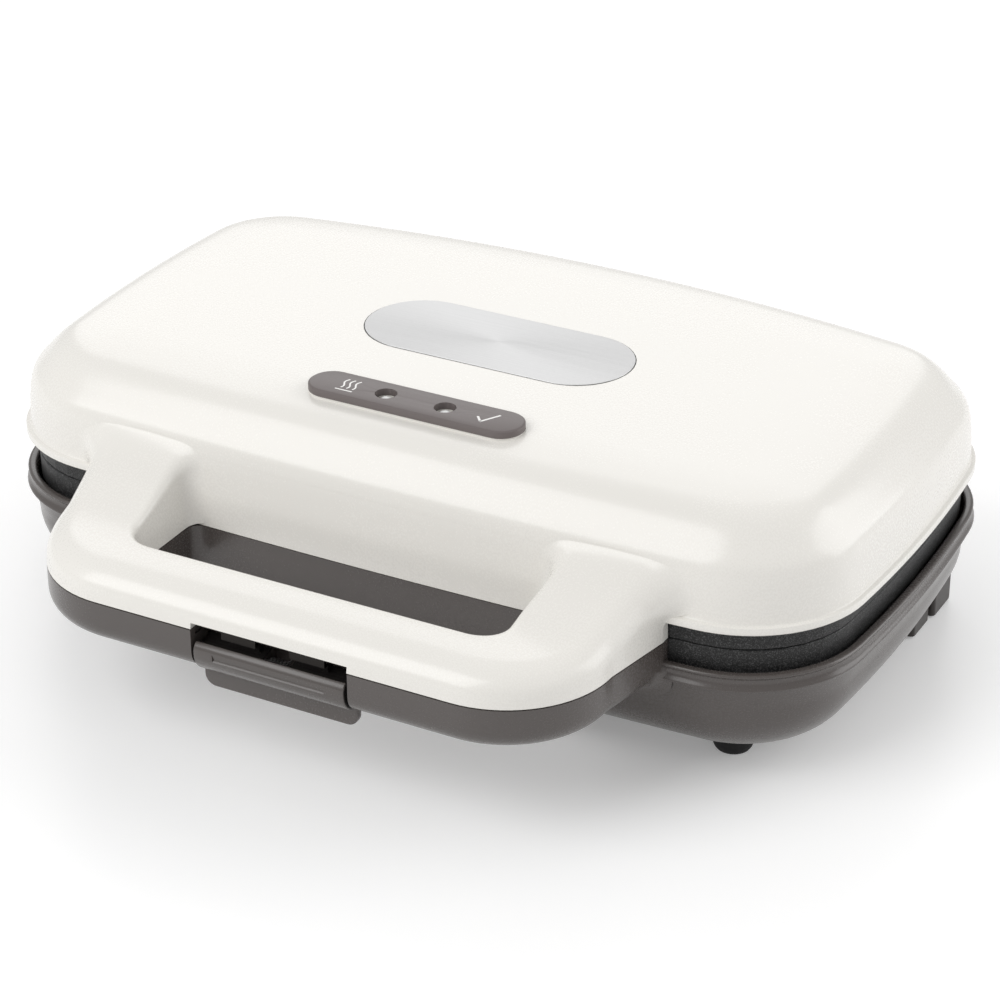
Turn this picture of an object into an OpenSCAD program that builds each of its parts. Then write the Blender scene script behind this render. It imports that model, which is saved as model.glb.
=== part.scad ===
// Sandwich toaster: two hinged shells with cast cooking plates, a front grip and a pull latch.
// Millimetres. X runs across the front, Y to the back, Z up. The origin lies on the table
// under the middle of the whole object. The lid is drawn closed.

/* [Body outline] */
// Width between the corner lines of the lid edge
body_w = 300; // [280:1:320]
// Depth between the corner lines of the lid edge
body_d = 167; // [158:1:182]
// Corner radius of the lid edge
corner_r = 41; // [40:1:50]
// How far the front edge bows out
front_bow = 2.6; // [1:0.1:5]
// How far the sides bow out
side_bow = 1.8; // [0.6:0.1:4]
// How far the back edge bows out
back_bow = 10.5; // [8:0.5:11]
// Wall thickness of the moulded shells
wall = 2.4; // [2:0.1:3]

/* [Heights] */
// Height of the base underside above the table
foot_h = 10; // [8:0.5:16]
// Height of the base shell from underside to rim
base_h = 34.5; // [33:0.5:42]
// Height of the lower plate edge that shows above the rim
lower_edge = 6.4; // [5.5:0.1:8]
// Height of the upper plate edge that shows below the lid
upper_edge = 7; // [6:0.1:8]
// Height of the lid shell
lid_h = 34.3; // [33:0.5:42]

/* [Lid form] */
// Height of the plain lip along the lid edge
lid_lip_h = 2.6; // [2:0.1:4]
// How far the lid wall stands in from the lip
lid_lip_in = 1.6; // [1:0.1:3]
// Height where the wall turns into the shoulder
ridge_h = 20.2; // [16:0.1:22]
// Inset of the wall where it turns into the shoulder
ridge_in = 3.4; // [2.5:0.1:6]
// Height where the shoulder turns into the top
crease_h = 32.4; // [30:0.1:32.6]
// Inset where the shoulder turns into the top
crease_in = 15.5; // [12:0.5:20]

/* [Base form] */
// Height of the raised lip round the base rim
base_lip_h = 5.7; // [4:0.1:7]
// How far the base lip stands out past the lid edge
base_lip_out = 1; // [0.4:0.1:2]
// Radius between the base wall and the underside
base_fillet = 20; // [14:1:22]
// Inset of the base wall below its lip
base_wall_in = 0.8; // [0.4:0.1:2]

/* [Grip] */
// Reach of the grip in front of the body corner line
grip_out = 60; // [54:1:68]
// Width of the grip at its front corners
grip_w = 193.4; // [186:1:204]
// Width of the grip legs where they meet the body
grip_root_w = 210.8; // [206:1:218]
// Radius of the grip's outer corners
grip_r = 34.8; // [28:1:40]
// Thickness of the grip bar from front to back
grip_t = 22.5; // [22:0.5:28]
// Height of the lid half of the grip bar
grip_up = 11; // [10.5:0.5:14]
// Height of the base half of the grip bar
grip_down = 14.6; // [14:0.2:17]
// Radius of the lower edges of the grip
grip_round = 7; // [4:0.5:8]
// Height of the grip legs at the lid wall above the parting plane
leg_rise = 23; // [18:0.5:26]
// Width of the finger gap
gap_w = 126.6; // [118:1:130]
// Corner radius of the finger gap
gap_r = 8; // [5:0.5:11]
// Wall thickness of the hollow grip
grip_wall = 2.6; // [2.2:0.1:3]

/* [Cooking plates] */
// Inset of the plate edges from the lid edge
plate_in = 3.8; // [2.5:0.1:4.5]
// Inset of the plate pans from the lid edge
pan_in = 12; // [11:0.5:13]
// Width of one sandwich pocket
pocket_w = 124; // [110:1:125]
// Depth of one sandwich pocket from front to back
pocket_d = 122; // [110:1:124]
// Sinking depth of a pocket
pocket_h = 11; // [8:0.5:12]
// Corner radius of a pocket
pocket_r = 12; // [8:1:20]
// Width of the land between the two pockets
land_w = 12; // [10:1:14]
// Height of the diagonal ridge in a pocket
ridge_up = 3.5; // [2:0.5:5]
// Thickness of the plate under a pocket
pan_t = 3; // [2.5:0.5:4]

/* [Heating] */
// Outer radius of the tubular heating elements
element_r = 3.2; // [2.8:0.1:3.5]
// Half width of the element loop
element_x = 104; // [80:1:108]
// Half depth of the element loop
element_y = 40; // [34:1:46]
// Bend radius of the element loop
element_bend = 20; // [14:1:26]
// Thickness of the reflector trays
tray_t = 0.8; // [0.6:0.1:1.2]
// Gap between an element and its reflector tray
tray_gap = 3.6; // [3:0.1:4.5]
// Diameter of the plate screws
screw_d = 4; // [3:0.5:4]

/* [Hinge] */
// Distance of the hinge axis behind the body corner line
hinge_back = 8.5; // [8:0.5:11]
// Distance of a hinge from the middle
hinge_x = 90; // [80:1:96]
// Outer radius of the hinge knuckles
knuckle_r = 5.2; // [4.6:0.1:5.4]
// Diameter of the hinge pins
hinge_pin_d = 4; // [3:0.5:4.5]
// Width of a lid hinge arm
arm_w = 12; // [9:0.5:14]
// Thickness of a hinge bracket ear
ear_t = 5.5; // [4:0.5:7]

/* [Latch] */
// Width of the latch barrel
latch_w = 52.4; // [46:0.2:60]
// Gap between the latch barrel and the sides of its slot
latch_gap = 1.1; // [0.6:0.1:1.6]
// Radius of the latch barrel
latch_r = 6.2; // [5.8:0.1:6.6]
// Diameter of the latch pin
latch_pin_d = 3; // [2.4:0.1:3.6]
// Width of the pull tab
tab_w = 54; // [40:0.5:54]
// Corner radius of the pull tab
tab_r = 4.5; // [2:0.5:5]
// Drop of the pull tab below the barrel's axis
tab_drop = 12.9; // [10:0.1:15]
// Thickness of the pull tab and the hooks
latch_t = 2.4; // [2:0.1:3]
// Height of the notch in the lid half of the grip
notch_h = 2.2; // [2:0.1:3]
// Wire diameter of the latch spring
spring_wire = 0.7; // [0.5:0.1:0.9]
// Number of turns of the latch spring
spring_turns = 5; // [3:1:6]

/* [Lid fittings] */
// Length of the badge plate
badge_l = 95.5; // [80:0.5:105]
// Width of the badge plate
badge_w = 39; // [34:0.5:44]
// Distance of the badge plate behind the body centre
badge_y = 2.3; // [-2:0.1:8]
// Thickness of the badge plate
badge_t = 0.9; // [0.6:0.1:1.4]
// Length of the indicator strip
strip_l = 76; // [66:0.5:84]
// Width of the indicator strip
strip_w = 15.4; // [14:0.1:18]
// Distance of the indicator strip in front of the body centre
strip_y = 53; // [50:0.1:55]
// Thickness of the indicator strip
strip_t = 2.4; // [1.8:0.1:3.2]
// Distance between the two lamp windows
lamp_pitch = 21.2; // [16:0.2:26]
// Diameter of the lamp windows
lamp_d = 6.8; // [5:0.1:8]

/* [Feet and inlet] */
// Radius of the front rubber feet
foot_r = 7; // [5:0.5:9]
// Distance of the front feet from the middle
foot_x = 112; // [96:1:116]
// Distance of the front feet in front of the body centre
foot_y = 52; // [44:1:56]
// Outer distance of the rear feet from the middle
rear_foot_x = 138; // [132:1:140]
// Width of the rear feet
rear_foot_w = 26; // [20:1:32]
// Depth of the rear feet from front to back
rear_foot_d = 32; // [28:1:36]
// Distance of the rear feet in front of the body's back corner line
rear_foot_y = 48; // [44:1:54]
// Radius of the bore for the mains cord
cord_r = 3.5; // [3:0.1:4]
// Height of the cord inlet above the base underside
inlet_h = 19; // [17:0.5:20]

/* [Fits] */
// Radial clearance of a turning pin
run_fit = 0.05; // [0.02:0.01:0.1]
// Clearance of a piece that drops into its seat
seat_fit = 0.15; // [0.1:0.05:0.25]
// Gap between lid and base pieces at the parting plane
part_gap = 0.3; // [0.3:0.05:0.5]

/* [Hidden] */
$fn = 48;

// levels
rim_z = foot_h + base_h;
part_z = rim_z + lower_edge;
lid_z = part_z + upper_edge;
top_z = lid_z + lid_h;
seat_drop = 2.4;                      // how far the plates sink below the base rim
ledge_in = 10;                        // inset of the ledges that carry the plates
plate_seat_z = rim_z - seat_drop;
lower_top = part_z - part_gap / 2;
upper_bottom = part_z + part_gap / 2;
lower_pan_z = lower_top - pocket_h - pan_t;
upper_pan_z = upper_bottom + pocket_h + pan_t;
lower_tray_z = lower_pan_z - 2 * element_r - tray_gap;
upper_tray_z = upper_pan_z + 2 * element_r + tray_gap;

// plan positions
front_y = -body_d / 2 - grip_out;
hinge_y = body_d / 2 + hinge_back;
hinge_z = part_z;
back_reach = max(hinge_y + knuckle_r, body_d / 2 + back_bow + base_lip_out);
origin_y = -(front_y + back_reach) / 2;
gap_front = front_y + grip_t;
gap_back = -body_d / 2 - front_bow - 0.6;
gap_flare = 2.4;                      // how far the finger gap widens towards its top
latch_y = front_y + latch_r;
latch_z = part_z - latch_r - 2.4;
ax = body_w / 2 - corner_r;
ay = body_d / 2 - corner_r;
pocket_x = (pocket_w + land_w) / 2;
plate_screw_spots = [[body_w / 2 - 16, 0], [-body_w / 2 + 16, 0], [0, body_d / 2 - 15.5],
    [0, -body_d / 2 + 15.5]];
clamp_spots = [[-element_x + 40, -1], [element_x - 40, -1], [-element_x + 40, 1],
    [element_x - 40, 1]];
thermostat_at = [38, -14];
lamp_spots = [-lamp_pitch / 2, lamp_pitch / 2];
seat_z = top_z + 0.2;                 // top of the raised seat under the strip
pad_z = top_z - wall - 0.8;           // underside of the pad that carries the lamps

// colours
white = [0.96, 0.95, 0.92];
taupe = [0.40, 0.37, 0.36];
coating = [0.16, 0.16, 0.17];
steel = [0.72, 0.72, 0.73];
tray_metal = [0.82, 0.82, 0.83];
rubber = [0.10, 0.10, 0.10];
clear = [0.93, 0.94, 0.95];
ceramic = [0.90, 0.88, 0.82];

// ---- outlines -------------------------------------------------------------------------

function arc_pts(c, r, a0, a1, n) = [for (i = [0:n - 1])
    let (a = a0 + (a1 - a0) * i / n) [c[0] + r * cos(a), c[1] + r * sin(a)]];

// the same with its end point
function full_arc(c, r, a0, a1, n) = concat(arc_pts(c, r, a0, a1, n),
    [[c[0] + r * cos(a1), c[1] + r * sin(a1)]]);

// radius of an edge that bows out by s over a half length h, and half its angle
function bow_r(h, s) = (h * h + s * s) / (2 * s);
function bow_a(h, s) = asin(h / bow_r(h, s));

rf = bow_r(ax, front_bow);
rb = bow_r(ax, back_bow);
rs = bow_r(ay, side_bow);
tf = bow_a(ax, front_bow);
tb = bow_a(ax, back_bow);
ts = bow_a(ay, side_bow);

// closed body outline, a distance inside the lid edge
function body_pts(inset) = let (r = corner_r - inset) concat(
    arc_pts([0, rf - ay - front_bow], rf + r, 270 - tf, 270 + tf, 12),
    arc_pts([ax, -ay], r, 270 + tf, 360 - ts, 8),
    arc_pts([ax + side_bow - rs, 0], rs + r, -ts, ts, 6),
    arc_pts([ax, ay], r, ts, 90 - tb, 8),
    arc_pts([0, ay + back_bow - rb], rb + r, 90 - tb, 90 + tb, 12),
    arc_pts([-ax, ay], r, 90 + tb, 180 - ts, 8),
    arc_pts([rs - ax - side_bow, 0], rs + r, 180 - ts, 180 + ts, 6),
    arc_pts([-ax, -ay], r, 180 + ts, 270 - tf, 8));

// outline of the grip: two legs that lean in towards a straight front
function grip_pts(inset) = let (
    w0 = grip_root_w / 2 - inset, w1 = grip_w / 2 - inset, r = grip_r - inset,
    y1 = front_y + grip_r, y0 = -body_d / 2 + 20) concat(
    [[-w0, y0]],
    full_arc([r - w1, y1], r, 180, 270, 8),
    full_arc([w1 - r, y1], r, 270, 360, 8),
    [[w1, y1], [w0, y0]]);

// rectangle with round corners, centred on c
function round_pts(c, w, d, r, n = 5) = concat(
    full_arc([c[0] + w / 2 - r, c[1] - d / 2 + r], r, 270, 360, n),
    full_arc([c[0] + w / 2 - r, c[1] + d / 2 - r], r, 0, 90, n),
    full_arc([c[0] - w / 2 + r, c[1] + d / 2 - r], r, 90, 180, n),
    full_arc([c[0] - w / 2 + r, c[1] - d / 2 + r], r, 180, 270, n));

// outline of the finger gap, widened to the front and sides by one distance, to the back by another
function gap_pts(out, back) = round_pts([0, (gap_front - out + gap_back + back) / 2],
    gap_w + 2 * out, gap_back + back - gap_front + out, gap_r + min(out, back));

function stadium_pts(l, w) = concat(
    full_arc([(l - w) / 2, 0], w / 2, -90, 90, 14), full_arc([(w - l) / 2, 0], w / 2, 90, 270, 14));

// ---- profiles as lists of [inset, height] ---------------------------------------------

function unit(v) = v / norm(v);
function bend(p, q, s, reach, n) = let (a = q + reach * unit(p - q), b = q + reach * unit(s - q))
    [for (i = [0:n]) let (t = i / n) a * (1 - t) * (1 - t) + 2 * q * t * (1 - t) + b * t * t];

lid_profile = concat(
    [[0, 0], [0, lid_lip_h], [lid_lip_in, lid_lip_h + 1.2]],
    bend([lid_lip_in, lid_lip_h + 1.2], [ridge_in, ridge_h], [crease_in, crease_h], 5, 3),
    bend([ridge_in, ridge_h], [crease_in, crease_h], [corner_r - 2.5, lid_h], 7, 4),
    [[corner_r - 2.5, lid_h]]);

base_profile = concat(
    [for (a = [0:15:90]) [base_wall_in + base_fillet * (1 - sin(a)), base_fillet * (1 - cos(a))]],
    [[base_wall_in, base_h - base_lip_h - 1.2], [-base_lip_out, base_h - base_lip_h],
     [-base_lip_out, base_h - 0.8], [0.6 - base_lip_out, base_h]]);

// a profile moved inwards by t along its own normals
function inward(p, t) = [for (i = [0:len(p) - 1])
    let (d = unit(p[min(i + 1, len(p) - 1)] - p[max(i - 1, 0)])) p[i] + t * [d[1], -d[0]]];

// solid through a list of outlines that all have the same number of points
module skin(layers) {
    n = len(layers[0]);
    m = len(layers);
    pts = [for (l = layers) each l];
    sides = [for (j = [0:m - 2], i = [0:n - 1])
        [j * n + i, (j + 1) * n + i, (j + 1) * n + (i + 1) % n, j * n + (i + 1) % n]];
    polyhedron(points = pts, convexity = 8,
        faces = concat([[for (i = [0:n - 1]) i]], sides,
            [[for (i = [n - 1:-1:0]) (m - 1) * n + i]]));
}

function lift(pts, z) = [for (p = pts) [p[0], p[1], z]];

module body_loft(profile, z) {
    skin([for (r = profile) lift(body_pts(r[0]), z + r[1])]);
}

module grip_loft(profile, z) {
    skin([for (r = profile) lift(grip_pts(r[0]), z + r[1])]);
}

// tube along a list of points, held square to its ends
function tangent(p, i) = unit(p[min(i + 1, len(p) - 1)] - p[max(i - 1, 0)]);
function square_to(t) = unit(cross(t, abs(t[2]) < 0.9 ? [0, 0, 1] : [1, 0, 0]));
module tube(path, r, sides = 8) {
    skin([for (i = [0:len(path) - 1]) let (t = tangent(path, i), u = square_to(t), v = cross(u, t))
        [for (k = [0:sides - 1]) let (a = -360 * k / sides) path[i] + r * (u * cos(a) + v * sin(a))]]);
}

module at_body() {
    translate([0, origin_y, 0]) children();
}

module bar_x(r, x0, x1) {
    translate([x0, 0, 0]) rotate([0, 90, 0]) cylinder(r = r, h = x1 - x0);
}

module both_sides() {
    children();
    mirror([1, 0, 0]) children();
}

// ---- base -----------------------------------------------------------------------------

module base_form() {
    body_loft(base_profile, foot_h);
}

module base_cavity() {
    shell = inward([for (i = [0:6]) base_profile[i]], wall);
    body_loft(concat(shell, [
        [base_wall_in + wall, plate_seat_z - foot_h - wall],
        [ledge_in, plate_seat_z - foot_h - wall],
        [ledge_in, plate_seat_z - foot_h],
        [plate_in - 0.4, plate_seat_z - foot_h],
        [plate_in - 0.4, part_z - foot_h + 1]]), foot_h);
}

// plan of the hollow inside the grip
module grip_hollow_2d(shrink = 0) {
    difference() {
        polygon(grip_pts(grip_wall + shrink));
        polygon(gap_pts(grip_wall + shrink, grip_wall + shrink));
        polygon(body_pts(-0.3 - shrink));
    }
}

module latch_slot_2d() {
    translate([-latch_w / 2 - latch_gap, front_y - 1]) square([latch_w + 2 * latch_gap, 2 * latch_r + 1.6]);
}

latch_slot_end = front_y + 2 * latch_r + 0.6;
pin_ear_w = 7;
pin_reach = latch_w / 2 + latch_gap + pin_ear_w;

module plate_boss(z0, z_step, z1) {
    for (s = plate_screw_spots) translate([s[0], s[1], 0]) {
        translate([0, 0, z0]) cylinder(d = 14, h = z_step - z0);
        translate([0, 0, z_step - 0.5]) cylinder(d = 9, h = z1 - z_step + 0.5);
    }
}

module plate_boss_holes(z0, z1) {
    for (s = plate_screw_spots)
        translate([s[0], s[1], z0]) cylinder(d = screw_d + 0.1, h = z1 - z0);
}

module base_shell() {
    grip_z = part_z - grip_down;
    color(taupe) at_body() {
        difference() {
            union() {
                base_form();
                grip_loft(concat([for (a = [0:22.5:90]) grip_round * [1 - sin(a), 1 - cos(a)]],
                    [[0, grip_down - part_gap / 2]]), grip_z);
            }
            base_cavity();
            difference() {
                translate([0, 0, grip_z + grip_wall + 0.8])
                    linear_extrude(grip_down) grip_hollow_2d();
                for (x = [-1, 1]) translate([x * (latch_w / 2 + latch_gap + pin_ear_w / 2), latch_y, latch_z])
                    cube([pin_ear_w, 2 * latch_r + 4, 2 * latch_r], center = true);
                translate([-spring_room / 2, latch_slot_end - 1, grip_z])
                    cube([spring_room / 2, 5, latch_z - coil_r - spring_wire / 2 - 0.1 - grip_z]);
            }
            translate([0, 0, grip_z - 1]) linear_extrude(grip_down + 2) polygon(gap_pts(0, 0));
            translate([0, 0, grip_z - 1]) linear_extrude(grip_down + 2) latch_slot_2d();
            translate([0, latch_y, latch_z])
                bar_x(latch_pin_d / 2 + 0.03, -pin_reach, pin_reach);
            translate([0, body_d / 2 + back_bow + 2, foot_h + inlet_h])
                rotate([90, 0, 0]) cylinder(r = cord_r + 2 + seat_fit, h = 13);
            for (x = [-1, 1], z = bracket_screws) translate([x * hinge_x, hinge_y, z])
                rotate([90, 0, 0]) cylinder(d = 3.1, h = 20);
            for (x = [-1, 1]) translate([x * foot_x, -foot_y, foot_h - 1]) cylinder(d = 3.1, h = 6);
            for (x = [-40:8:40]) translate([x - 1.5, -30, foot_h - 1]) cube([3, 24, wall + 2]);
        }
        difference() {
            intersection() {
                plate_boss(foot_h + wall - 0.5, lower_tray_z, lower_pan_z);
                base_form();
            }
            plate_boss_holes(foot_h + wall + 4, lower_pan_z + 1);
        }
    }
}

module base_grip_cover() {
    color(taupe) at_body() difference() {
        translate([0, 0, part_z - part_gap / 2 - 2]) linear_extrude(2) grip_hollow_2d(seat_fit);
        translate([-latch_w / 2 - latch_gap - 0.2, front_y - 1, part_z - 4])
            cube([latch_w + 2 * latch_gap + 0.4, latch_slot_end - front_y + 3.4, 6]);
    }
}

// ---- cooking plates -------------------------------------------------------------------

// one plate seen from its cooking face at z = 0, its pan reaching down
module plate(edge_h) {
    pan_z = -pocket_h - pan_t;
    difference() {
        union() {
            body_loft([[plate_in, -edge_h], [plate_in, -0.3], [plate_in + 0.3, 0]], 0);
            body_loft([[pan_in + 2, pan_z], [pan_in, pan_z + 2], [pan_in, -edge_h + 0.5]], 0);
        }
        for (x = [-1, 1]) translate([0, 0, -pocket_h]) linear_extrude(pocket_h + 1)
            polygon(round_pts([x * pocket_x, 0], pocket_w, pocket_d, pocket_r));
        for (s = plate_screw_spots) translate([s[0], s[1], 0]) {
            translate([0, 0, pan_z - 1]) cylinder(d = screw_d + 0.1, h = pocket_h + pan_t + 2);
            translate([0, 0, -3.2]) cylinder(d = 8.4, h = 4);
        }
    }
    diagonal = atan2(pocket_d, pocket_w);
    for (x = [-1, 1]) translate([x * pocket_x, 0, -pocket_h]) intersection() {
        rotate([0, 0, x * diagonal]) rotate([90, 0, 90]) linear_extrude(200, center = true)
            polygon([[-4, -0.5], [4, -0.5], [4, 0], [0.6, ridge_up], [-0.6, ridge_up], [-4, 0]]);
        translate([0, 0, -1]) linear_extrude(pocket_h)
            polygon(round_pts([0, 0], pocket_w + 0.2, pocket_d + 0.2, pocket_r));
    }
}

module lower_plate() {
    color(coating) at_body() translate([0, 0, lower_top]) plate(lower_top - plate_seat_z);
}

module upper_plate() {
    color(coating) at_body() translate([0, 0, upper_bottom]) mirror([0, 0, 1])
        plate(lid_z - upper_bottom);
}

// ---- heating elements, clamps and trays -----------------------------------------------

function element_path(z) = let (x = element_x, y = element_y, r = element_bend, e = 14) concat(
    [[-e, y + 20, z]],
    lift(full_arc([-e - 8, y + 8], 8, 0, -90, 3), z),
    lift(full_arc([-x + r, y - r], r, 90, 180, 4), z),
    lift(full_arc([-x + r, -y + r], r, 180, 270, 4), z),
    lift(full_arc([x - r, -y + r], r, 270, 360, 4), z),
    lift(full_arc([x - r, y - r], r, 0, 90, 4), z),
    lift(full_arc([e + 8, y + 8], 8, 270, 180, 3), z),
    [[e, y + 20, z]]);

module element(z) {
    at_body() {
        tube(element_path(z), element_r, 12);
        for (x = [-14, 14]) translate([x, element_y + 20, z]) rotate([-90, 0, 0]) {
            cylinder(r = 1.2, h = 7);
            cylinder(r = element_r, h = 1.5);
        }
    }
}

// saddles round the element, standing on the pan; up says which way the pan lies
module element_clamps(z, up) {
    reach = element_r + 1.2;
    at_body() difference() {
        for (s = clamp_spots) translate([s[0], s[1] * element_y, z])
            translate([-4, -reach - 3, up > 0 ? -reach : -element_r])
                cube([8, 2 * reach + 6, element_r + reach]);
        for (s = clamp_spots) translate([s[0] - 5, s[1] * element_y, z])
            rotate([0, 90, 0]) cylinder(r = element_r + 0.1, h = 10);
        for (s = clamp_spots) translate([s[0] - 5, s[1] * element_y - element_r - 0.1,
            up > 0 ? z : z - element_r - 1]) cube([10, 2 * element_r + 0.2, element_r + 1]);
    }
}

module lower_element() {
    color(steel) element(lower_pan_z - element_r - 0.1);
}

module upper_element() {
    color(steel) element(upper_pan_z + element_r + 0.1);
}

module lower_element_clamps() {
    color(steel) element_clamps(lower_pan_z - element_r - 0.1, 1);
}

module upper_element_clamps() {
    color(steel) element_clamps(upper_pan_z + element_r + 0.1, -1);
}

// tray with a turned edge; up says which way the edge stands
module tray(z, up, holes) {
    edge_h = 4;
    at_body() difference() {
        translate([0, 0, up > 0 ? z : z - edge_h]) linear_extrude(edge_h + tray_t)
            polygon(body_pts(15));
        translate([0, 0, up > 0 ? z + tray_t : z - edge_h - 1]) linear_extrude(edge_h + 1)
            polygon(body_pts(15 + tray_t));
        for (s = plate_screw_spots) translate([s[0], s[1], z - 10]) cylinder(d = 9.6, h = 20);
        for (h = holes) translate([h[0], h[1], z - 10]) cylinder(r = h[2], h = 20);
        for (x = [-14, 14]) translate([x - 3, element_y + 24, z - 10]) cube([6, 6, 20]);
    }
}

module lower_reflector() {
    color(tray_metal) tray(lower_tray_z, 1, []);
}

module upper_reflector() {
    color(tray_metal) tray(upper_tray_z, -1, [[thermostat_at[0], thermostat_at[1], 10]]);
}

module plate_screw(z_face, z_tip) {
    dir = z_tip > z_face ? 1 : -1;
    for (s = plate_screw_spots) translate([s[0], s[1], z_face])
        rotate([dir > 0 ? 0 : 180, 0, 0]) difference() {
            union() {
                translate([0, 0, 0.8]) cylinder(d = 7.6, h = 2.4);
                translate([0, 0, 3]) cylinder(d = screw_d, h = abs(z_tip - z_face) - 3);
            }
            translate([-2.6, -0.5, 0]) cube([5.2, 1, 1.8]);
            translate([-0.5, -2.6, 0]) cube([1, 5.2, 1.8]);
        }
}

module lower_plate_screws() {
    color(steel) at_body() plate_screw(lower_top, foot_h + wall + 4.4);
}

module upper_plate_screws() {
    color(steel) at_body() plate_screw(upper_bottom, top_z - wall - 4.4);
}

// ---- feet and inlet -------------------------------------------------------------------

foot_round = foot_r - 4.8;             // how far a foot narrows to its flat sole
foot_bowl = foot_h * 0.62;

module front_feet() {
    color(rubber) at_body() both_sides() translate([foot_x, -foot_y, 0]) rotate_extrude()
        polygon(concat([[3.4, 3], [3.4, 0.4], [3.7, 0]],
            [for (a = [0:18:90]) [foot_r - foot_round * (1 - sin(a)), foot_bowl * (1 - cos(a))]],
            [[foot_r, foot_h], [1.6, foot_h], [1.6, 3]]));
}

module front_foot_screws() {
    color(steel) at_body() both_sides() translate([foot_x, -foot_y, 0]) {
        translate([0, 0, 1.2]) cylinder(r = 3, h = 1.8);
        translate([0, 0, 2.9]) cylinder(r = 1.5, h = foot_h + 1.8);
    }
}

pad_h = 0.8;
rear_edge = body_d / 2 - rear_foot_y;  // front of the rear feet
rear_split = rear_foot_d * 0.45;       // depth of their front rib
rear_wall = 2;

function rear_rib(x, w, y0, y1, inset) = round_pts([x - w / 2, (y0 + y1) / 2], w - 2 * inset,
    y1 - y0 - 2 * inset, 1.6 - min(inset, 1));

// plan of a rear foot: a short front rib, a web and a wider back rib
module rear_plan(inset) {
    polygon(rear_rib(rear_foot_x, rear_foot_w - 8, rear_edge, rear_edge + rear_split, inset));
    polygon(rear_rib(rear_foot_x + 1, rear_foot_w, rear_edge + rear_split + 1.6,
        rear_edge + rear_foot_d, inset));
    if (inset == 0) translate([rear_foot_x - 14, rear_edge + rear_split - 1]) square([9, 4]);
}

module rear_feet() {
    color(taupe) at_body() both_sides() difference() {
        translate([0, 0, pad_h]) linear_extrude(foot_h + 8) rear_plan(0);
        base_form();
        translate([0, 0, pad_h + rear_wall]) linear_extrude(foot_h + 8) rear_plan(rear_wall);
    }
}

module rear_foot_pads() {
    color(rubber) at_body() both_sides()
        translate([rear_foot_x - rear_foot_w + 5, rear_edge + rear_split + 4, 0])
            cube([rear_foot_w - 8, rear_foot_d - rear_split - 7, pad_h]);
}

module cord_gland() {
    y0 = body_d / 2 + back_bow - base_wall_in;
    color(taupe) at_body() translate([0, y0 - 9, foot_h + inlet_h]) rotate([-90, 0, 0]) difference() {
        union() {
            cylinder(r = cord_r + 2, h = 10);
            cylinder(r = cord_r + 3.6, h = 2.5);
            translate([0, 0, 9.1]) cylinder(r = cord_r + 3.6, h = 2.5);
        }
        translate([0, 0, -1]) cylinder(r = cord_r, h = 20);
    }
}

// ---- wiring ---------------------------------------------------------------------------

block_at = [0, 44];

module terminal_block() {
    color(ceramic) at_body() translate([block_at[0] - 18, block_at[1] - 6, foot_h + wall])
        difference() {
            cube([36, 12, 9]);
            for (x = [6, 18, 30]) {
                translate([x, -1, 4.5]) rotate([-90, 0, 0]) cylinder(r = 1.6, h = 14);
                translate([x, 6, 5]) cylinder(r = 2, h = 5);
            }
        }
}

module base_leads() {
    z = foot_h + wall + 4.5;
    inlet_y = body_d / 2 + back_bow - base_wall_in;
    inlet_z = foot_h + inlet_h;
    color(rubber) at_body() for (x = [-1, 1]) {
        tube([[x * 1.8, inlet_y - 9.3, inlet_z], [x * 1.8, inlet_y - 10.2, inlet_z],
            [x * 3.2, inlet_y - 11.8, inlet_z - 1.8], [x * 6, inlet_y - 12.4, inlet_z - 6],
            [x * 9, inlet_y - 14, z + 3], [x * 11.4, inlet_y - 20, z],
            [x * 12, inlet_y - 34, z], [x * 12, block_at[1] + 4, z]], 1.2);
    }
}

module thermal_fuse() {
    color(ceramic) at_body() translate([30, 6, lower_tray_z]) {
        translate([0, 0, -2.6]) rotate([0, 90, 0]) cylinder(r = 2.2, h = 14);
        translate([4, -3, -0.5]) cube([6, 6, 0.5]);
    }
}

module lid_leads() {
    z = upper_tray_z + tray_t + 1.6;
    color(rubber) at_body() for (x = [-1, 1])
        tube([[x * 14, element_y + 28, upper_pan_z + element_r + 1.4],
            [x * 14, element_y + 28, z - 2], [x * 14.4, element_y + 26, z],
            [x * 24, element_y, z], [x * 24, 0, z], [x * 20, -20, z], [x * 14, -34, z]], 1.2);
}

module thermostat() {
    color(ceramic) at_body() translate([thermostat_at[0], thermostat_at[1], upper_pan_z]) {
        cylinder(r = 8, h = 9);
        cylinder(r = 9.2, h = 2);
        for (x = [-5, 4]) translate([x, -2, 8]) cube([0.8, 4, 8]);
    }
}

// ---- hinge ----------------------------------------------------------------------------

bracket_screws = [hinge_z - 23, hinge_z - 16];
bracket_face = hinge_y + 1.2;         // where the bracket screw heads bear
arm_face = hinge_y + 1;               // where the arm screw heads bear
arm_screw_z = lid_z + 9;
hinge_span = arm_w / 2 + 0.3 + ear_t;

module side_profile(pts, x0, x1) {
    translate([x0, hinge_y, hinge_z]) rotate([90, 0, 90]) linear_extrude(x1 - x0) polygon(pts);
}

module head_pocket(y, z) {
    translate([hinge_x, y, z]) rotate([90, 0, 0]) {
        translate([0, 0, -12]) cylinder(d = 6.4, h = 12);
        cylinder(d = 3.1, h = 22);
    }
}

module hinge_screw(x, y, z) {
    translate([x, y, z]) rotate([90, 0, 0]) {
        translate([0, 0, -1.6]) cylinder(d = 6, h = 1.6);
        cylinder(d = 3, h = 12);
    }
}

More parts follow.
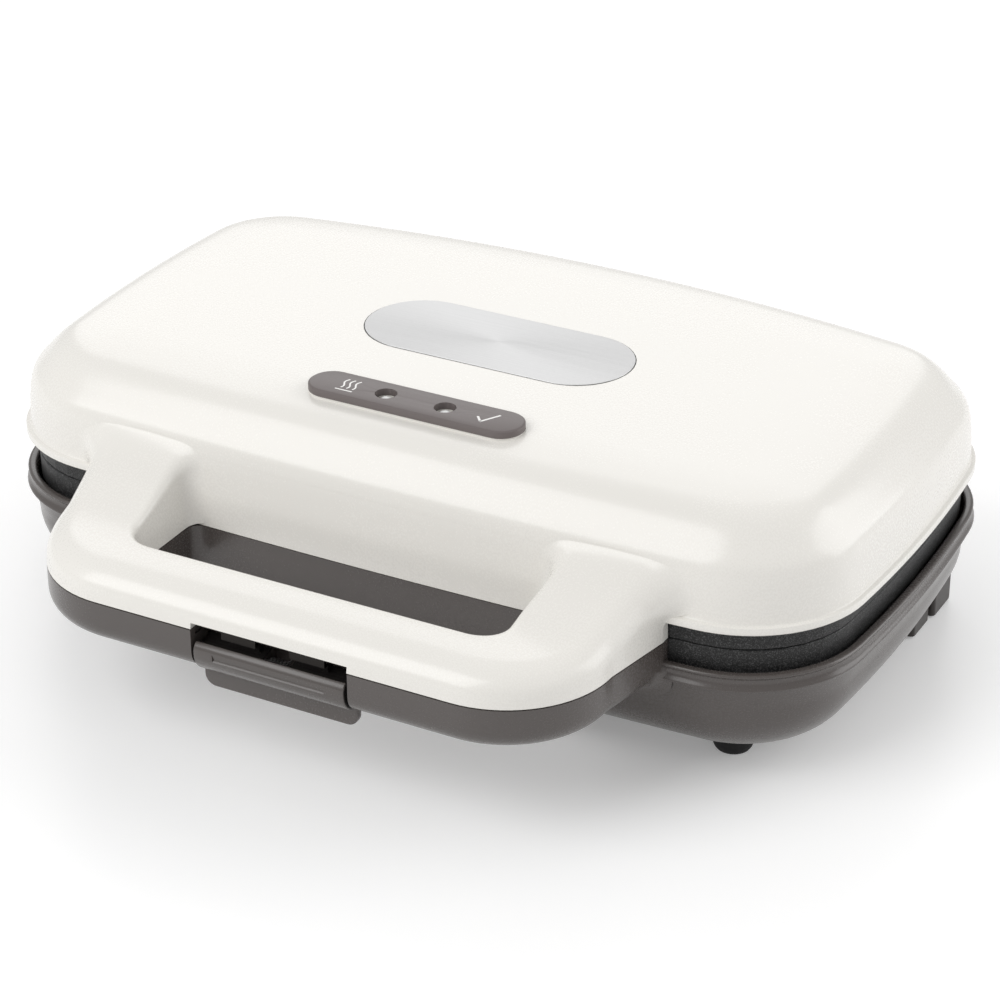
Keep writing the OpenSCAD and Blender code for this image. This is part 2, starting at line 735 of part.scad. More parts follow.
module hinge_brackets() {
    r = knuckle_r;
    color(taupe) at_body() both_sides() difference() {
        union() {
            for (x = [hinge_x - hinge_span, hinge_x + hinge_span - ear_t]) {
                translate([x, hinge_y, hinge_z]) bar_x(r, 0, ear_t);
                side_profile([[-r, 0], [-r, -lower_edge], [-12, -lower_edge - 0.3], [-12, -30],
                    [r - 3, -30], [r, -24], [r, 0]], x, x + ear_t);
            }
            side_profile([[-12, -8.4], [-12, -33], [-2.4, -33], [r - 3, -29], [r - 0.8, -24],
                [r - 0.8, -11], [r - 3, -8.4]], hinge_x - hinge_span + 1, hinge_x + hinge_span - 1);
        }
        base_form();
        translate([0, hinge_y, hinge_z]) bar_x(hinge_pin_d / 2 + 0.02, hinge_x - 30, hinge_x + 30);
        for (z = bracket_screws) head_pocket(bracket_face, z);
    }
}

module hinge_screws() {
    color(steel) at_body() for (x = [-1, 1], z = bracket_screws)
        hinge_screw(x * hinge_x, bracket_face, z);
}

module hinge_pins() {
    color(steel) at_body() both_sides() translate([0, hinge_y, hinge_z])
        bar_x(hinge_pin_d / 2, hinge_x - hinge_span, hinge_x + hinge_span);
}

module lid_hinge_arms() {
    r = knuckle_r;
    color(white) at_body() both_sides() difference() {
        union() {
            translate([0, hinge_y, hinge_z])
                bar_x(r, hinge_x - arm_w / 2, hinge_x + arm_w / 2);
            side_profile([[-r, 0], [-r, upper_edge], [-13, upper_edge + 0.4], [-13, 20], [-5, 20],
                [0.6, 19], [3.6, 15], [r, 7], [r, 0]], hinge_x - arm_w / 2, hinge_x + arm_w / 2);
        }
        lid_form();
        translate([0, hinge_y, hinge_z])
            bar_x(hinge_pin_d / 2 + run_fit, hinge_x - arm_w, hinge_x + arm_w);
        head_pocket(arm_face, arm_screw_z);
    }
}

module lid_arm_screws() {
    color(steel) at_body() for (x = [-1, 1]) hinge_screw(x * hinge_x, arm_face, arm_screw_z);
}

// ---- lid ------------------------------------------------------------------------------

module lid_form() {
    body_loft(lid_profile, lid_z);
}

module lid_cavity() {
    n = len(lid_profile);
    shell = inward([for (i = [3:n - 1]) lid_profile[i]], wall);
    body_loft(concat([
        [plate_in - 0.4, part_z - 1 - lid_z], [plate_in - 0.4, 0], [ledge_in, 0],
        [ledge_in, wall], [lid_lip_in + wall, wall]], shell), lid_z);
}

// half width of the grip at a depth y
function grip_half(y) = let (y1 = front_y + grip_r, y0 = -body_d / 2 + 20)
    y > y1 ? grip_w / 2 + (y - y1) / (y0 - y1) * (grip_root_w - grip_w) / 2
           : grip_w / 2 - grip_r + sqrt(grip_r * grip_r - (y1 - y) * (y1 - y));

// upright section through a leg: flat foot, slightly leaning sides, round top edges
function leg_section(y, top) = let (xi = gap_w / 2 + gap_flare, xo = grip_half(y), z = part_z,
    low = z + 4, t = z + top, r = 5.5) [for (p = concat([[xi - 0.4, low]],
    [for (a = [180:-22.5:90]) [xi + r * (1 + cos(a)), t - r * (1 - sin(a))]],
    [for (a = [90:-22.5:0]) [xo - 0.4 - r * (1 - cos(a)), t - r * (1 - sin(a))]],
    [[xo, low]])) [p[0], y, p[1]]];

module grip_leg() {
    y_bar = gap_front - 3;
    y_wall = -body_d / 2 + 3.5;
    low = grip_up - part_gap - 0.4;
    skin([for (t = [0:0.125:1]) leg_section(y_bar + (y_wall - y_bar) * t,
        low + (leg_rise - low) * (t < 0.3 ? t * t * 1.5 : t * 1.235 - 0.235))]);
}

module lid_shell() {
    bar_top = grip_up - part_gap / 2;
    grip_z = part_z + part_gap / 2;
    color(white) at_body() {
        difference() {
            union() {
                lid_form();
                grip_loft([[0, 0], [0, 5.4], [0.6, 7.4], [2, 9.2], [4.2, bar_top - 0.4], [7, bar_top]],
                    grip_z);
                both_sides() grip_leg();
                translate([0, -strip_y, top_z - 2.4]) linear_extrude(seat_z - top_z + 2.4)
                    polygon(stadium_pts(strip_l - 0.6, strip_w - 0.6));
            }
            lid_cavity();
            translate([0, 0, grip_z - 1]) linear_extrude(grip_up - grip_wall) grip_hollow_2d();
            skin([lift(gap_pts(0, 0), grip_z - 1), lift(gap_pts(0, 0), grip_z + 3),
                lift(gap_pts(1.4, 0), grip_z + grip_up - 1.4),
                lift(gap_pts(gap_flare, 0), grip_z + grip_up + 0.2)]);
            translate([-latch_w / 2 - 1, front_y - 1, grip_z - 1])
                cube([latch_w + 2, grip_wall + 3, notch_h + 1]);
            translate([0, badge_y, top_z - badge_t]) linear_extrude(5)
                polygon(stadium_pts(badge_l + 2 * seat_fit, badge_w + 2 * seat_fit));
            for (x = lamp_spots) translate([x, -strip_y, top_z - 10])
                cylinder(d = lamp_d + 2 * seat_fit, h = 20);
            for (x = [-1, 1]) translate([x * hinge_x, hinge_y, arm_screw_z])
                rotate([90, 0, 0]) cylinder(d = 3.1, h = 20);
        }
        difference() {
            intersection() {
                mirror([0, 0, 1])
                    plate_boss(wall - 0.5 - top_z, -upper_tray_z - tray_t, -upper_pan_z);
                lid_form();
            }
            plate_boss_holes(upper_pan_z - 1, top_z - wall - 4);
        }
        translate([0, -strip_y, pad_z]) linear_extrude(top_z - 1.2 - pad_z) difference() {
            polygon(stadium_pts(strip_l - 6, strip_w));
            for (x = lamp_spots) translate([x, 0]) circle(d = lamp_d + 2 * seat_fit);
        }
    }
}

module lid_grip_cover() {
    color(white) at_body() difference() {
        translate([0, 0, part_z + part_gap / 2]) linear_extrude(2) grip_hollow_2d(seat_fit);
        translate([-latch_w / 2 - 1, front_y - 1, part_z - 1])
            cube([latch_w + 2, latch_slot_end - front_y + 3.4, 6]);
    }
}

striker_t = 0.8;                       // sheet thickness of the striker
striker_in = 2.2;                      // depth of its two feet
striker_y = front_y + grip_wall + 0.02;
striker_z = latch_z + latch_r + 0.3;   // underside of the feet, just above the barrel

module striker() {
    color(steel) at_body() {
        translate([-latch_w / 2, striker_y, part_z + 0.4]) cube([latch_w, striker_t, 6]);
        for (x = [-18, 6]) translate([x, striker_y, striker_z]) {
            cube([12, striker_t, part_z + 1 - striker_z]);
            cube([12, striker_in, striker_t]);
        }
    }
}

module badge_plate() {
    color(steel) at_body() translate([0, badge_y, top_z - badge_t]) linear_extrude(badge_t + 0.2)
        polygon(stadium_pts(badge_l, badge_w));
}

module indicator_strip() {
    bevel = 1.1;
    color(taupe) at_body() translate([0, -strip_y, seat_z]) difference() {
        skin([lift(stadium_pts(strip_l, strip_w), 0),
            lift(stadium_pts(strip_l, strip_w), strip_t - bevel),
            lift(stadium_pts(strip_l - 0.8, strip_w - 0.8), strip_t - 0.4),
            lift(stadium_pts(strip_l - 2 * bevel, strip_w - 2 * bevel), strip_t)]);
        for (x = lamp_spots) translate([x, 0, -1]) cylinder(d = lamp_d + 2 * seat_fit, h = 10);
    }
}

module lamp_lenses() {
    flange_z = pad_z - 1.2;
    lens_z = seat_z + strip_t - 2.9;  // where the domed top of a lens starts
    color(clear) at_body() for (x = lamp_spots) translate([x, -strip_y, 0]) {
        translate([0, 0, flange_z]) cylinder(d = lamp_d + 2.4, h = 1.1);
        translate([0, 0, flange_z]) rotate_extrude() polygon(concat([[0, 0]],
            [for (a = [0:15:90]) [lamp_d / 2 * cos(a), lens_z - flange_z + 1.1 * sin(a)]]));
    }
}

lamp_z = pad_z - 1.5;                 // top of the lamps

module lamps() {
    color(clear) at_body() for (x = lamp_spots) translate([x, -strip_y, lamp_z - 6.4]) {
        cylinder(r = 2.4, h = 4);
        translate([0, 0, 4]) sphere(r = 2.4);
    }
}

module lamp_holder() {
    z = lamp_z - 8.2;
    color(ceramic) at_body() difference() {
        union() {
            translate([-lamp_pitch / 2 - 7, -strip_y - 6, z]) cube([lamp_pitch + 14, 12, 3.4]);
            for (x = [-1, 1]) translate([x * (lamp_pitch / 2 + 9), -strip_y, z])
                cylinder(r = 3, h = pad_z - 0.1 - z);
        }
        for (x = lamp_spots) translate([x, -strip_y, z + 1.8]) cylinder(r = 2.5, h = 4);
    }
}

// ---- latch ----------------------------------------------------------------------------

spring_pitch = spring_wire + 0.5;
spring_len = (spring_turns + 0.5) * spring_pitch;
spring_room = spring_len + 3;         // width of the pocket for the spring
coil_r = latch_pin_d / 2 + spring_wire / 2 + 0.35;

face_x = latch_w / 2 - 6.7;            // half length of the shallow panel in the barrel's face

module latch_clip() {
    hook_z = striker_z + striker_t + 0.3;       // underside of the hook noses
    hook_y = striker_y + striker_in + 0.4;      // their tips, short of the striker's feet
    hook_top = part_z - 0.2;
    color(taupe) at_body() difference() {
        union() {
            translate([0, latch_y, latch_z]) bar_x(latch_r, -latch_w / 2, latch_w / 2);
            translate([0, latch_y + latch_t, latch_z - tab_drop]) rotate([90, 0, 0])
                linear_extrude(latch_t) polygon(concat(
                    full_arc([tab_r - tab_w / 2, tab_r], tab_r, 180, 270, 6),
                    full_arc([tab_w / 2 - tab_r, tab_r], tab_r, 270, 360, 6),
                    [[tab_w / 2, tab_drop - 3.8], [-tab_w / 2, tab_drop - 3.8]]));
            for (x = [-17, 7]) {
                translate([x, hook_y + 1.2, latch_z]) cube([10, latch_t, hook_top - latch_z]);
                translate([x, hook_y, hook_z]) cube([10, 2, hook_top - hook_z]);
            }
        }
        translate([0, latch_y, latch_z])
            bar_x(latch_pin_d / 2 + run_fit, -latch_w, latch_w);
        translate([-spring_room / 2, latch_y - 3.2, latch_z - 3.6]) cube([spring_room, 12, 14]);
        translate([0, latch_y, latch_z]) rotate([-11, 0, 0])
            translate([-face_x, -latch_r - 1, -1.4]) cube([2 * face_x, 1.6, 2.8]);
    }
}

module latch_pin() {
    color(steel) at_body() translate([0, latch_y, latch_z])
        bar_x(latch_pin_d / 2, 0.4 - pin_reach, pin_reach - 0.4);
}

module latch_spring() {
    w = spring_len;
    steps = spring_turns * 8 + 4;
    coil = [for (i = [0:steps]) let (a = 45 * i)
        [-w / 2 + w * i / steps, latch_y - coil_r * sin(a), latch_z - coil_r * cos(a)]];
    echo(least_gap_between_spring_turns = 8 * w / steps - spring_wire);
    color(steel) at_body() tube(concat(
        [[-w / 2, latch_slot_end + 5, latch_z - coil_r]], coil,
        [[w / 2, latch_y + 4.6, latch_z + coil_r]]), spring_wire / 2, 6);
}

base_shell();
base_grip_cover();
lower_plate();
lower_element();
lower_element_clamps();
lower_reflector();
lower_plate_screws();
front_feet();
front_foot_screws();
rear_feet();
rear_foot_pads();
cord_gland();
terminal_block();
base_leads();
thermal_fuse();
hinge_brackets();
hinge_screws();
hinge_pins();
lid_shell();
lid_grip_cover();
upper_plate();
upper_element();
upper_element_clamps();
upper_reflector();
upper_plate_screws();
thermostat();
lid_leads();
lid_hinge_arms();
lid_arm_screws();
striker();
badge_plate();
indicator_strip();
lamp_lenses();
lamps();
lamp_holder();
latch_clip();
latch_pin();
latch_spring();
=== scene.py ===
import math

import bmesh
import bpy
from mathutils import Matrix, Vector


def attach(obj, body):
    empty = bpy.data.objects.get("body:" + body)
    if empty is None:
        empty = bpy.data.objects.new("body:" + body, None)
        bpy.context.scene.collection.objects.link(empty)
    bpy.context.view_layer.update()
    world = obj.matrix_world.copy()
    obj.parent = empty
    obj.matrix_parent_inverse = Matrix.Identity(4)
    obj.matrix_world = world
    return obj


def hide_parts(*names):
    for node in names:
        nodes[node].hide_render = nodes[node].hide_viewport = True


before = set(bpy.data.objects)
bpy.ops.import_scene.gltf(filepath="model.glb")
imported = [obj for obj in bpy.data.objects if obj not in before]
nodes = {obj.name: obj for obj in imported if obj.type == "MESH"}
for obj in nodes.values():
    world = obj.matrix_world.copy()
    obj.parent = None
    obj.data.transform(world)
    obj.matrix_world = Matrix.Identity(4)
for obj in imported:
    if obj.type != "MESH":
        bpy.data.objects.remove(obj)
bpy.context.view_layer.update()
print("toaster frame loaded:", len(nodes), "nodes")

mm = 0.001

body = {  # outline of the shells, in millimetres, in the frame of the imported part
    "width": 300.0,
    "depth": 167.0,  # between the corner lines
    "cornerRadius": 41.0,
    "frontBow": 2.6,
    "sideBow": 1.8,
    "backBow": 10.5,
    "centreY": 23.15,  # the plan centre lies this far behind the frame's origin
    "lidZ": 57.9,
    "baseZ": 10.0,
    "rimZ": 44.5,
}


def deselectAll():
    if bpy.context.mode != "OBJECT":
        bpy.ops.object.mode_set(mode="OBJECT")
    bpy.ops.object.select_all(action="DESELECT")


def makeActive(obj):
    deselectAll()
    obj.select_set(True)
    bpy.context.view_layer.objects.active = obj


def startEdit(obj, mode="VERT"):
    makeActive(obj)
    bpy.ops.object.mode_set(mode="EDIT")
    bpy.ops.mesh.select_mode(type=mode)
    bpy.ops.mesh.select_all(action="DESELECT")


def endEdit():
    bpy.ops.object.mode_set(mode="OBJECT")


def pushOut(x, y, z):  # extrudes the selection, in millimetres
    step = (x * mm, y * mm, z * mm)
    bpy.ops.mesh.extrude_region_move(TRANSFORM_OT_translate={"value": step})


def endOutward():  # ends the edit with all faces turned outward
    bpy.ops.mesh.select_all(action="SELECT")
    bpy.ops.mesh.normals_make_consistent(inside=False)
    endEdit()


def pickFaces(obj, test):
    mesh = bmesh.from_edit_mesh(obj.data)
    for face in mesh.faces:
        face.select_set(bool(test(face)))
    bmesh.update_edit_mesh(obj.data)


def placeVerts(obj, spots):  # slides the vertices of a primitive to their places, in millimetres
    for vert, spot in zip(obj.data.vertices, spots):
        vert.co = Vector(spot) * mm


def settle(obj):
    makeActive(obj)
    bpy.ops.object.transform_apply(location=True, rotation=True, scale=True)


def useModifier(obj, kind, **values):
    makeActive(obj)
    mod = obj.modifiers.new(kind.title(), kind)
    for key, value in values.items():
        setattr(mod, key, value)
    bpy.ops.object.modifier_apply(modifier=mod.name)


def cutWith(obj, cutter, operation="DIFFERENCE"):
    useModifier(obj, "BOOLEAN", operation=operation, solver="EXACT", object=cutter)
    bpy.data.objects.remove(cutter, do_unlink=True)


def smoothBy(obj, degrees):
    makeActive(obj)
    bpy.ops.object.shade_smooth_by_angle(angle=math.radians(degrees))


def fixNormals(obj):
    startEdit(obj)
    bpy.ops.mesh.select_all(action="SELECT")
    bpy.ops.mesh.remove_doubles(threshold=0.00001)
    endOutward()


def joinPieces(first, *others):
    deselectAll()
    for other in others:
        other.select_set(True)
    first.select_set(True)
    bpy.context.view_layer.objects.active = first
    bpy.ops.object.join()
    return first


def dress(obj, name, material, rides, stands):
    obj.name = name
    obj.data.name = name
    obj.data.materials.clear()
    obj.data.materials.append(material)
    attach(obj, rides)
    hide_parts(*stands)


def arcPoints(cx, cy, r, start, end, count, last=False):
    steps = count if not last else count + 1
    angles = [math.radians(start + (end - start) * i / count) for i in range(steps)]
    return [(cx + r * math.cos(a), cy + r * math.sin(a)) for a in angles]


def bowRadius(half, sag):
    return (half * half + sag * sag) / (2 * sag)


def cornerArc(inset):  # place of the corner arc's centre, and its radius
    corner = body["cornerRadius"]
    return body["width"] / 2 - corner, body["depth"] / 2 - corner, corner - inset


def bodyOutline(inset):
    ax, ay, r = cornerArc(inset)
    front, side, back = body["frontBow"], body["sideBow"], body["backBow"]
    rf, rs, rb = bowRadius(ax, front), bowRadius(ay, side), bowRadius(ax, back)
    tf, ts, tb = (math.degrees(math.asin(h / q)) for h, q in ((ax, rf), (ay, rs), (ax, rb)))
    long, short, turn = 26, 10, 16  # points along the front, a side and a corner
    points = arcPoints(0, rf - ay - front, rf + r, 270 - tf, 270 + tf, long)
    points += arcPoints(ax, -ay, r, 270 + tf, 360 - ts, turn)
    points += arcPoints(ax + side - rs, 0, rs + r, -ts, ts, short)
    points += arcPoints(ax, ay, r, ts, 90 - tb, turn)
    points += arcPoints(0, ay + back - rb, rb + r, 90 - tb, 90 + tb, long)
    points += arcPoints(-ax, ay, r, 90 + tb, 180 - ts, turn)
    points += arcPoints(rs - ax - side, 0, rs + r, 180 - ts, 180 + ts, short)
    points += arcPoints(-ax, -ay, r, 180 + ts, 270 - tf, turn)
    return [(x, y + body["centreY"]) for x, y in points]


def frontLine(x, inset):  # y of the front of the outline at a given x
    ax, ay, r = cornerArc(inset)
    rf = bowRadius(ax, body["frontBow"])
    cy = rf - ay - body["frontBow"]
    x = abs(x)
    if x <= (rf + r) * ax / rf:
        y = cy - math.sqrt((rf + r) ** 2 - x * x)
    else:
        y = -ay - math.sqrt(max(r * r - (x - ax) ** 2, 0))
    return y + body["centreY"]


def stadium(length, width, cx, cy, turn=20):
    half = (length - width) / 2
    points = arcPoints(cx + half, cy, width / 2, -90, 90, turn, last=True)
    points += arcPoints(cx - half, cy, width / 2, 90, 270, turn, last=True)
    return points


def flatFace(points, z):  # a filled primitive circle slid to an outline
    deselectAll()
    bpy.ops.mesh.primitive_circle_add(vertices=len(points), radius=1, fill_type="NGON")
    obj = bpy.context.object
    placeVerts(obj, [(x, y, z) for x, y in points])
    startEdit(obj, "FACE")
    endOutward()
    return obj


def faceUp(obj):  # turns a lone face so that it looks up
    mesh = obj.data
    mesh.update()
    if mesh.polygons[0].normal.z <= 0:
        startEdit(obj, "FACE")
        bpy.ops.mesh.select_all(action="SELECT")
        bpy.ops.mesh.flip_normals()
        endEdit()


def buildUp(obj, steps):  # extrudes the face, then insets it ring by ring
    faceUp(obj)
    startEdit(obj, "FACE")
    bpy.ops.mesh.select_all(action="SELECT")
    pushOut(0, 0, steps[0][1])
    for i in range(1, len(steps)):
        inset = steps[i][0] - steps[i - 1][0]
        rise = steps[i][1] - steps[i - 1][1]
        if abs(inset) < 1e-6:
            pushOut(0, 0, rise)
        else:
            bpy.ops.mesh.inset(thickness=inset * mm, depth=rise * mm,
                               use_even_offset=True, use_boundary=True)
    endEdit()


def smoothLine(points, between):  # a soft curve through profile points
    out = []
    n = len(points)
    for i in range(n - 1):
        a, b = points[max(i - 1, 0)], points[i]
        c, d = points[i + 1], points[min(i + 2, n - 1)]
        for j in range(between):
            t = j / between
            out.append(tuple(
                0.5 * (2 * b[k] + (c[k] - a[k]) * t
                       + (2 * a[k] - 5 * b[k] + 4 * c[k] - d[k]) * t * t
                       + (3 * b[k] - a[k] - 3 * c[k] + d[k]) * t ** 3) for k in (0, 1)))
    out.append(points[-1])
    return out


def newGroup(name, inputs, outputs):
    group = bpy.data.node_groups.new(name, "ShaderNodeTree")
    for label, kind, value in inputs:
        socket = group.interface.new_socket(name=label, in_out="INPUT", socket_type=kind)
        if value is not None:
            socket.default_value = value
    for label, kind in outputs:
        group.interface.new_socket(name=label, in_out="OUTPUT", socket_type=kind)
    enter = group.nodes.new("NodeGroupInput")
    leave = group.nodes.new("NodeGroupOutput")
    return group, enter, leave


def mathNode(tree, operation, a, b, clamp=False):
    node = tree.nodes.new("ShaderNodeMath")
    node.operation = operation
    node.use_clamp = clamp
    for socket, value in zip(node.inputs, (a, b)):
        if isinstance(value, (int, float)):
            socket.default_value = value
        else:
            tree.links.new(value, socket)
    return node.outputs[0]


def noiseNode(tree, vector, scale, detail, rough=0.5):
    node = tree.nodes.new("ShaderNodeTexNoise")
    node.inputs["Detail"].default_value = detail
    node.inputs["Roughness"].default_value = rough
    tree.links.new(vector, node.inputs["Vector"])
    if isinstance(scale, (int, float)):
        node.inputs["Scale"].default_value = scale
    else:
        tree.links.new(scale, node.inputs["Scale"])
    return node.outputs["Fac"]


def blendColours(tree, fac, a, b):
    node = tree.nodes.new("ShaderNodeMix")
    node.data_type = "RGBA"
    tree.links.new(fac, node.inputs["Factor"])
    node.inputs[6].default_value = a
    node.inputs[7].default_value = b
    return node.outputs[2]


def shiftTone(group, enter, leave, shift):  # makes a colour lighter or darker by a share
    bright = mathNode(group, "ADD", shift, 1.0)
    tint = group.nodes.new("ShaderNodeVectorMath")
    tint.operation = "SCALE"
    group.links.new(enter.outputs["Colour"], tint.inputs[0])
    group.links.new(bright, tint.inputs["Scale"])
    group.links.new(tint.outputs[0], leave.inputs["Colour"])


def makeGrainGroup():  # fine moulded or cast grain: tone, roughness and height
    group, enter, leave = newGroup("mouldedGrain", [
        ("Vector", "NodeSocketVector", None), ("Colour", "NodeSocketColor", (0.5, 0.5, 0.5, 1)),
        ("Tone Shift", "NodeSocketFloat", 0.05), ("Roughness", "NodeSocketFloat", 0.3),
        ("Roughness Shift", "NodeSocketFloat", 0.05), ("Grain Scale", "NodeSocketFloat", 900.0)],
        [("Colour", "NodeSocketColor"), ("Roughness", "NodeSocketFloat"),
         ("Height", "NodeSocketFloat")])
    broad = noiseNode(group, enter.outputs["Vector"], 14.0, 4.0, 0.6)
    fine = noiseNode(group, enter.outputs["Vector"], enter.outputs["Grain Scale"], 2.0, 0.5)
    broadSwing = mathNode(group, "SUBTRACT", broad, 0.5)
    fineSwing = mathNode(group, "SUBTRACT", fine, 0.5)
    shift = mathNode(group, "MULTIPLY", broadSwing, enter.outputs["Tone Shift"])
    shiftTone(group, enter, leave, shift)
    swing = mathNode(group, "MULTIPLY", fineSwing, enter.outputs["Roughness Shift"])
    wide = mathNode(group, "MULTIPLY", broadSwing, enter.outputs["Roughness Shift"])
    both = mathNode(group, "ADD", swing, wide)
    total = mathNode(group, "ADD", both, enter.outputs["Roughness"], clamp=True)
    group.links.new(total, leave.inputs["Roughness"])
    group.links.new(fine, leave.inputs["Height"])
    return group


def makeSpeckleGroup():  # bright flecks in a dark coating
    group, enter, leave = newGroup("coatingSpeckle", [
        ("Vector", "NodeSocketVector", None), ("Fleck Scale", "NodeSocketFloat", 1400.0),
        ("Fleck Share", "NodeSocketFloat", 0.5)],
        [("Flecks", "NodeSocketFloat"), ("Height", "NodeSocketFloat")])
    dots = noiseNode(group, enter.outputs["Vector"], enter.outputs["Fleck Scale"], 2.0, 0.65)
    low = mathNode(group, "SUBTRACT", dots, enter.outputs["Fleck Share"])
    flecks = mathNode(group, "MULTIPLY", low, 7.0, clamp=True)
    group.links.new(flecks, leave.inputs["Flecks"])
    group.links.new(dots, leave.inputs["Height"])
    return group


def makeBrushGroup():  # straight brushing along one axis
    group, enter, leave = newGroup("brushedLines", [
        ("Vector", "NodeSocketVector", None), ("Stretch", "NodeSocketVector", (6.0, 900.0, 900.0)),
        ("Colour", "NodeSocketColor", (0.7, 0.7, 0.7, 1)), ("Contrast", "NodeSocketFloat", 0.25),
        ("Roughness", "NodeSocketFloat", 0.3)],
        [("Colour", "NodeSocketColor"), ("Roughness", "NodeSocketFloat"),
         ("Height", "NodeSocketFloat")])
    stretch = group.nodes.new("ShaderNodeVectorMath")
    stretch.operation = "MULTIPLY"
    group.links.new(enter.outputs["Vector"], stretch.inputs[0])
    group.links.new(enter.outputs["Stretch"], stretch.inputs[1])
    lines = noiseNode(group, stretch.outputs[0], 1.0, 5.0, 0.7)
    lineSwing = mathNode(group, "SUBTRACT", lines, 0.5)
    shift = mathNode(group, "MULTIPLY", lineSwing, enter.outputs["Contrast"])
    shiftTone(group, enter, leave, shift)
    roughSwing = mathNode(group, "MULTIPLY", shift, 0.8)
    rough = mathNode(group, "ADD", roughSwing, enter.outputs["Roughness"], clamp=True)
    group.links.new(rough, leave.inputs["Roughness"])
    group.links.new(lines, leave.inputs["Height"])
    return group


grainGroup = makeGrainGroup()
speckleGroup = makeSpeckleGroup()
brushGroup = makeBrushGroup()


def startMaterial(name):
    material = bpy.data.materials.new(name)
    material.use_nodes = True
    tree = material.node_tree
    shader = tree.nodes["Principled BSDF"]
    place = tree.nodes.new("ShaderNodeTexCoord")
    return material, tree, shader, place.outputs["Object"]


def addBump(tree, shader, height, distance, strength):
    bump = tree.nodes.new("ShaderNodeBump")
    bump.inputs["Distance"].default_value = distance * mm
    bump.inputs["Strength"].default_value = strength
    tree.links.new(height, bump.inputs["Height"])
    tree.links.new(bump.outputs[0], shader.inputs["Normal"])


def mouldedPlastic(name, colour, roughness, shift, coat, grainScale, bumpDepth, toneShift,
                   gloss):
    material, tree, shader, place = startMaterial(name)
    grain = tree.nodes.new("ShaderNodeGroup")
    grain.node_tree = grainGroup
    tree.links.new(place, grain.inputs["Vector"])
    grain.inputs["Colour"].default_value = (*colour, 1)
    grain.inputs["Tone Shift"].default_value = toneShift
    grain.inputs["Roughness"].default_value = roughness
    grain.inputs["Roughness Shift"].default_value = shift
    grain.inputs["Grain Scale"].default_value = grainScale
    tree.links.new(grain.outputs["Colour"], shader.inputs["Base Color"])
    tree.links.new(grain.outputs["Roughness"], shader.inputs["Roughness"])
    addBump(tree, shader, grain.outputs["Height"], bumpDepth, 0.4)
    shader.inputs["Specular IOR Level"].default_value = gloss
    shader.inputs["Coat Weight"].default_value = coat
    shader.inputs["Coat Roughness"].default_value = 0.12
    return material


coating = {  # the non-stick layer of the cooking plates
    "fleckScale": 2500.0,
    "fleckShare": 0.5,
    "ground": (0.012, 0.012, 0.012, 1),
    "fleck": (0.080, 0.080, 0.081, 1),
    "roughness": 0.46,
    "gloss": 0.32,
}


def nonStickCoating(name, values):
    material, tree, shader, place = startMaterial(name)
    speckle = tree.nodes.new("ShaderNodeGroup")
    speckle.node_tree = speckleGroup
    tree.links.new(place, speckle.inputs["Vector"])
    speckle.inputs["Fleck Scale"].default_value = values["fleckScale"]
    speckle.inputs["Fleck Share"].default_value = values["fleckShare"]
    colour = blendColours(tree, speckle.outputs["Flecks"], values["ground"], values["fleck"])
    tree.links.new(colour, shader.inputs["Base Color"])
    shader.inputs["Roughness"].default_value = values["roughness"]
    shader.inputs["Specular IOR Level"].default_value = values["gloss"]
    addBump(tree, shader, speckle.outputs["Height"], 0.12, 0.5)
    return material


def brushedMetal(name, colour, roughness, stretch, contrast, anisotropic):
    material, tree, shader, place = startMaterial(name)
    brush = tree.nodes.new("ShaderNodeGroup")
    brush.node_tree = brushGroup
    tree.links.new(place, brush.inputs["Vector"])
    brush.inputs["Stretch"].default_value = stretch
    brush.inputs["Colour"].default_value = (*colour, 1)
    brush.inputs["Contrast"].default_value = contrast
    brush.inputs["Roughness"].default_value = roughness
    tree.links.new(brush.outputs["Colour"], shader.inputs["Base Color"])
    tree.links.new(brush.outputs["Roughness"], shader.inputs["Roughness"])
    addBump(tree, shader, brush.outputs["Height"], 0.02, 0.3)
    shader.inputs["Metallic"].default_value = 1.0
    shader.inputs["Anisotropic"].default_value = anisotropic
    return material


def clearPiece(name, colour, roughness, transmission):
    material, tree, shader, place = startMaterial(name)
    haze = noiseNode(tree, place, 300.0, 2.0)
    rough = mathNode(tree, "ADD", mathNode(tree, "MULTIPLY", haze, 0.1), roughness)
    tree.links.new(rough, shader.inputs["Roughness"])
    shader.inputs["Base Color"].default_value = (*colour, 1)
    shader.inputs["Transmission Weight"].default_value = transmission
    shader.inputs["IOR"].default_value = 1.45
    return material


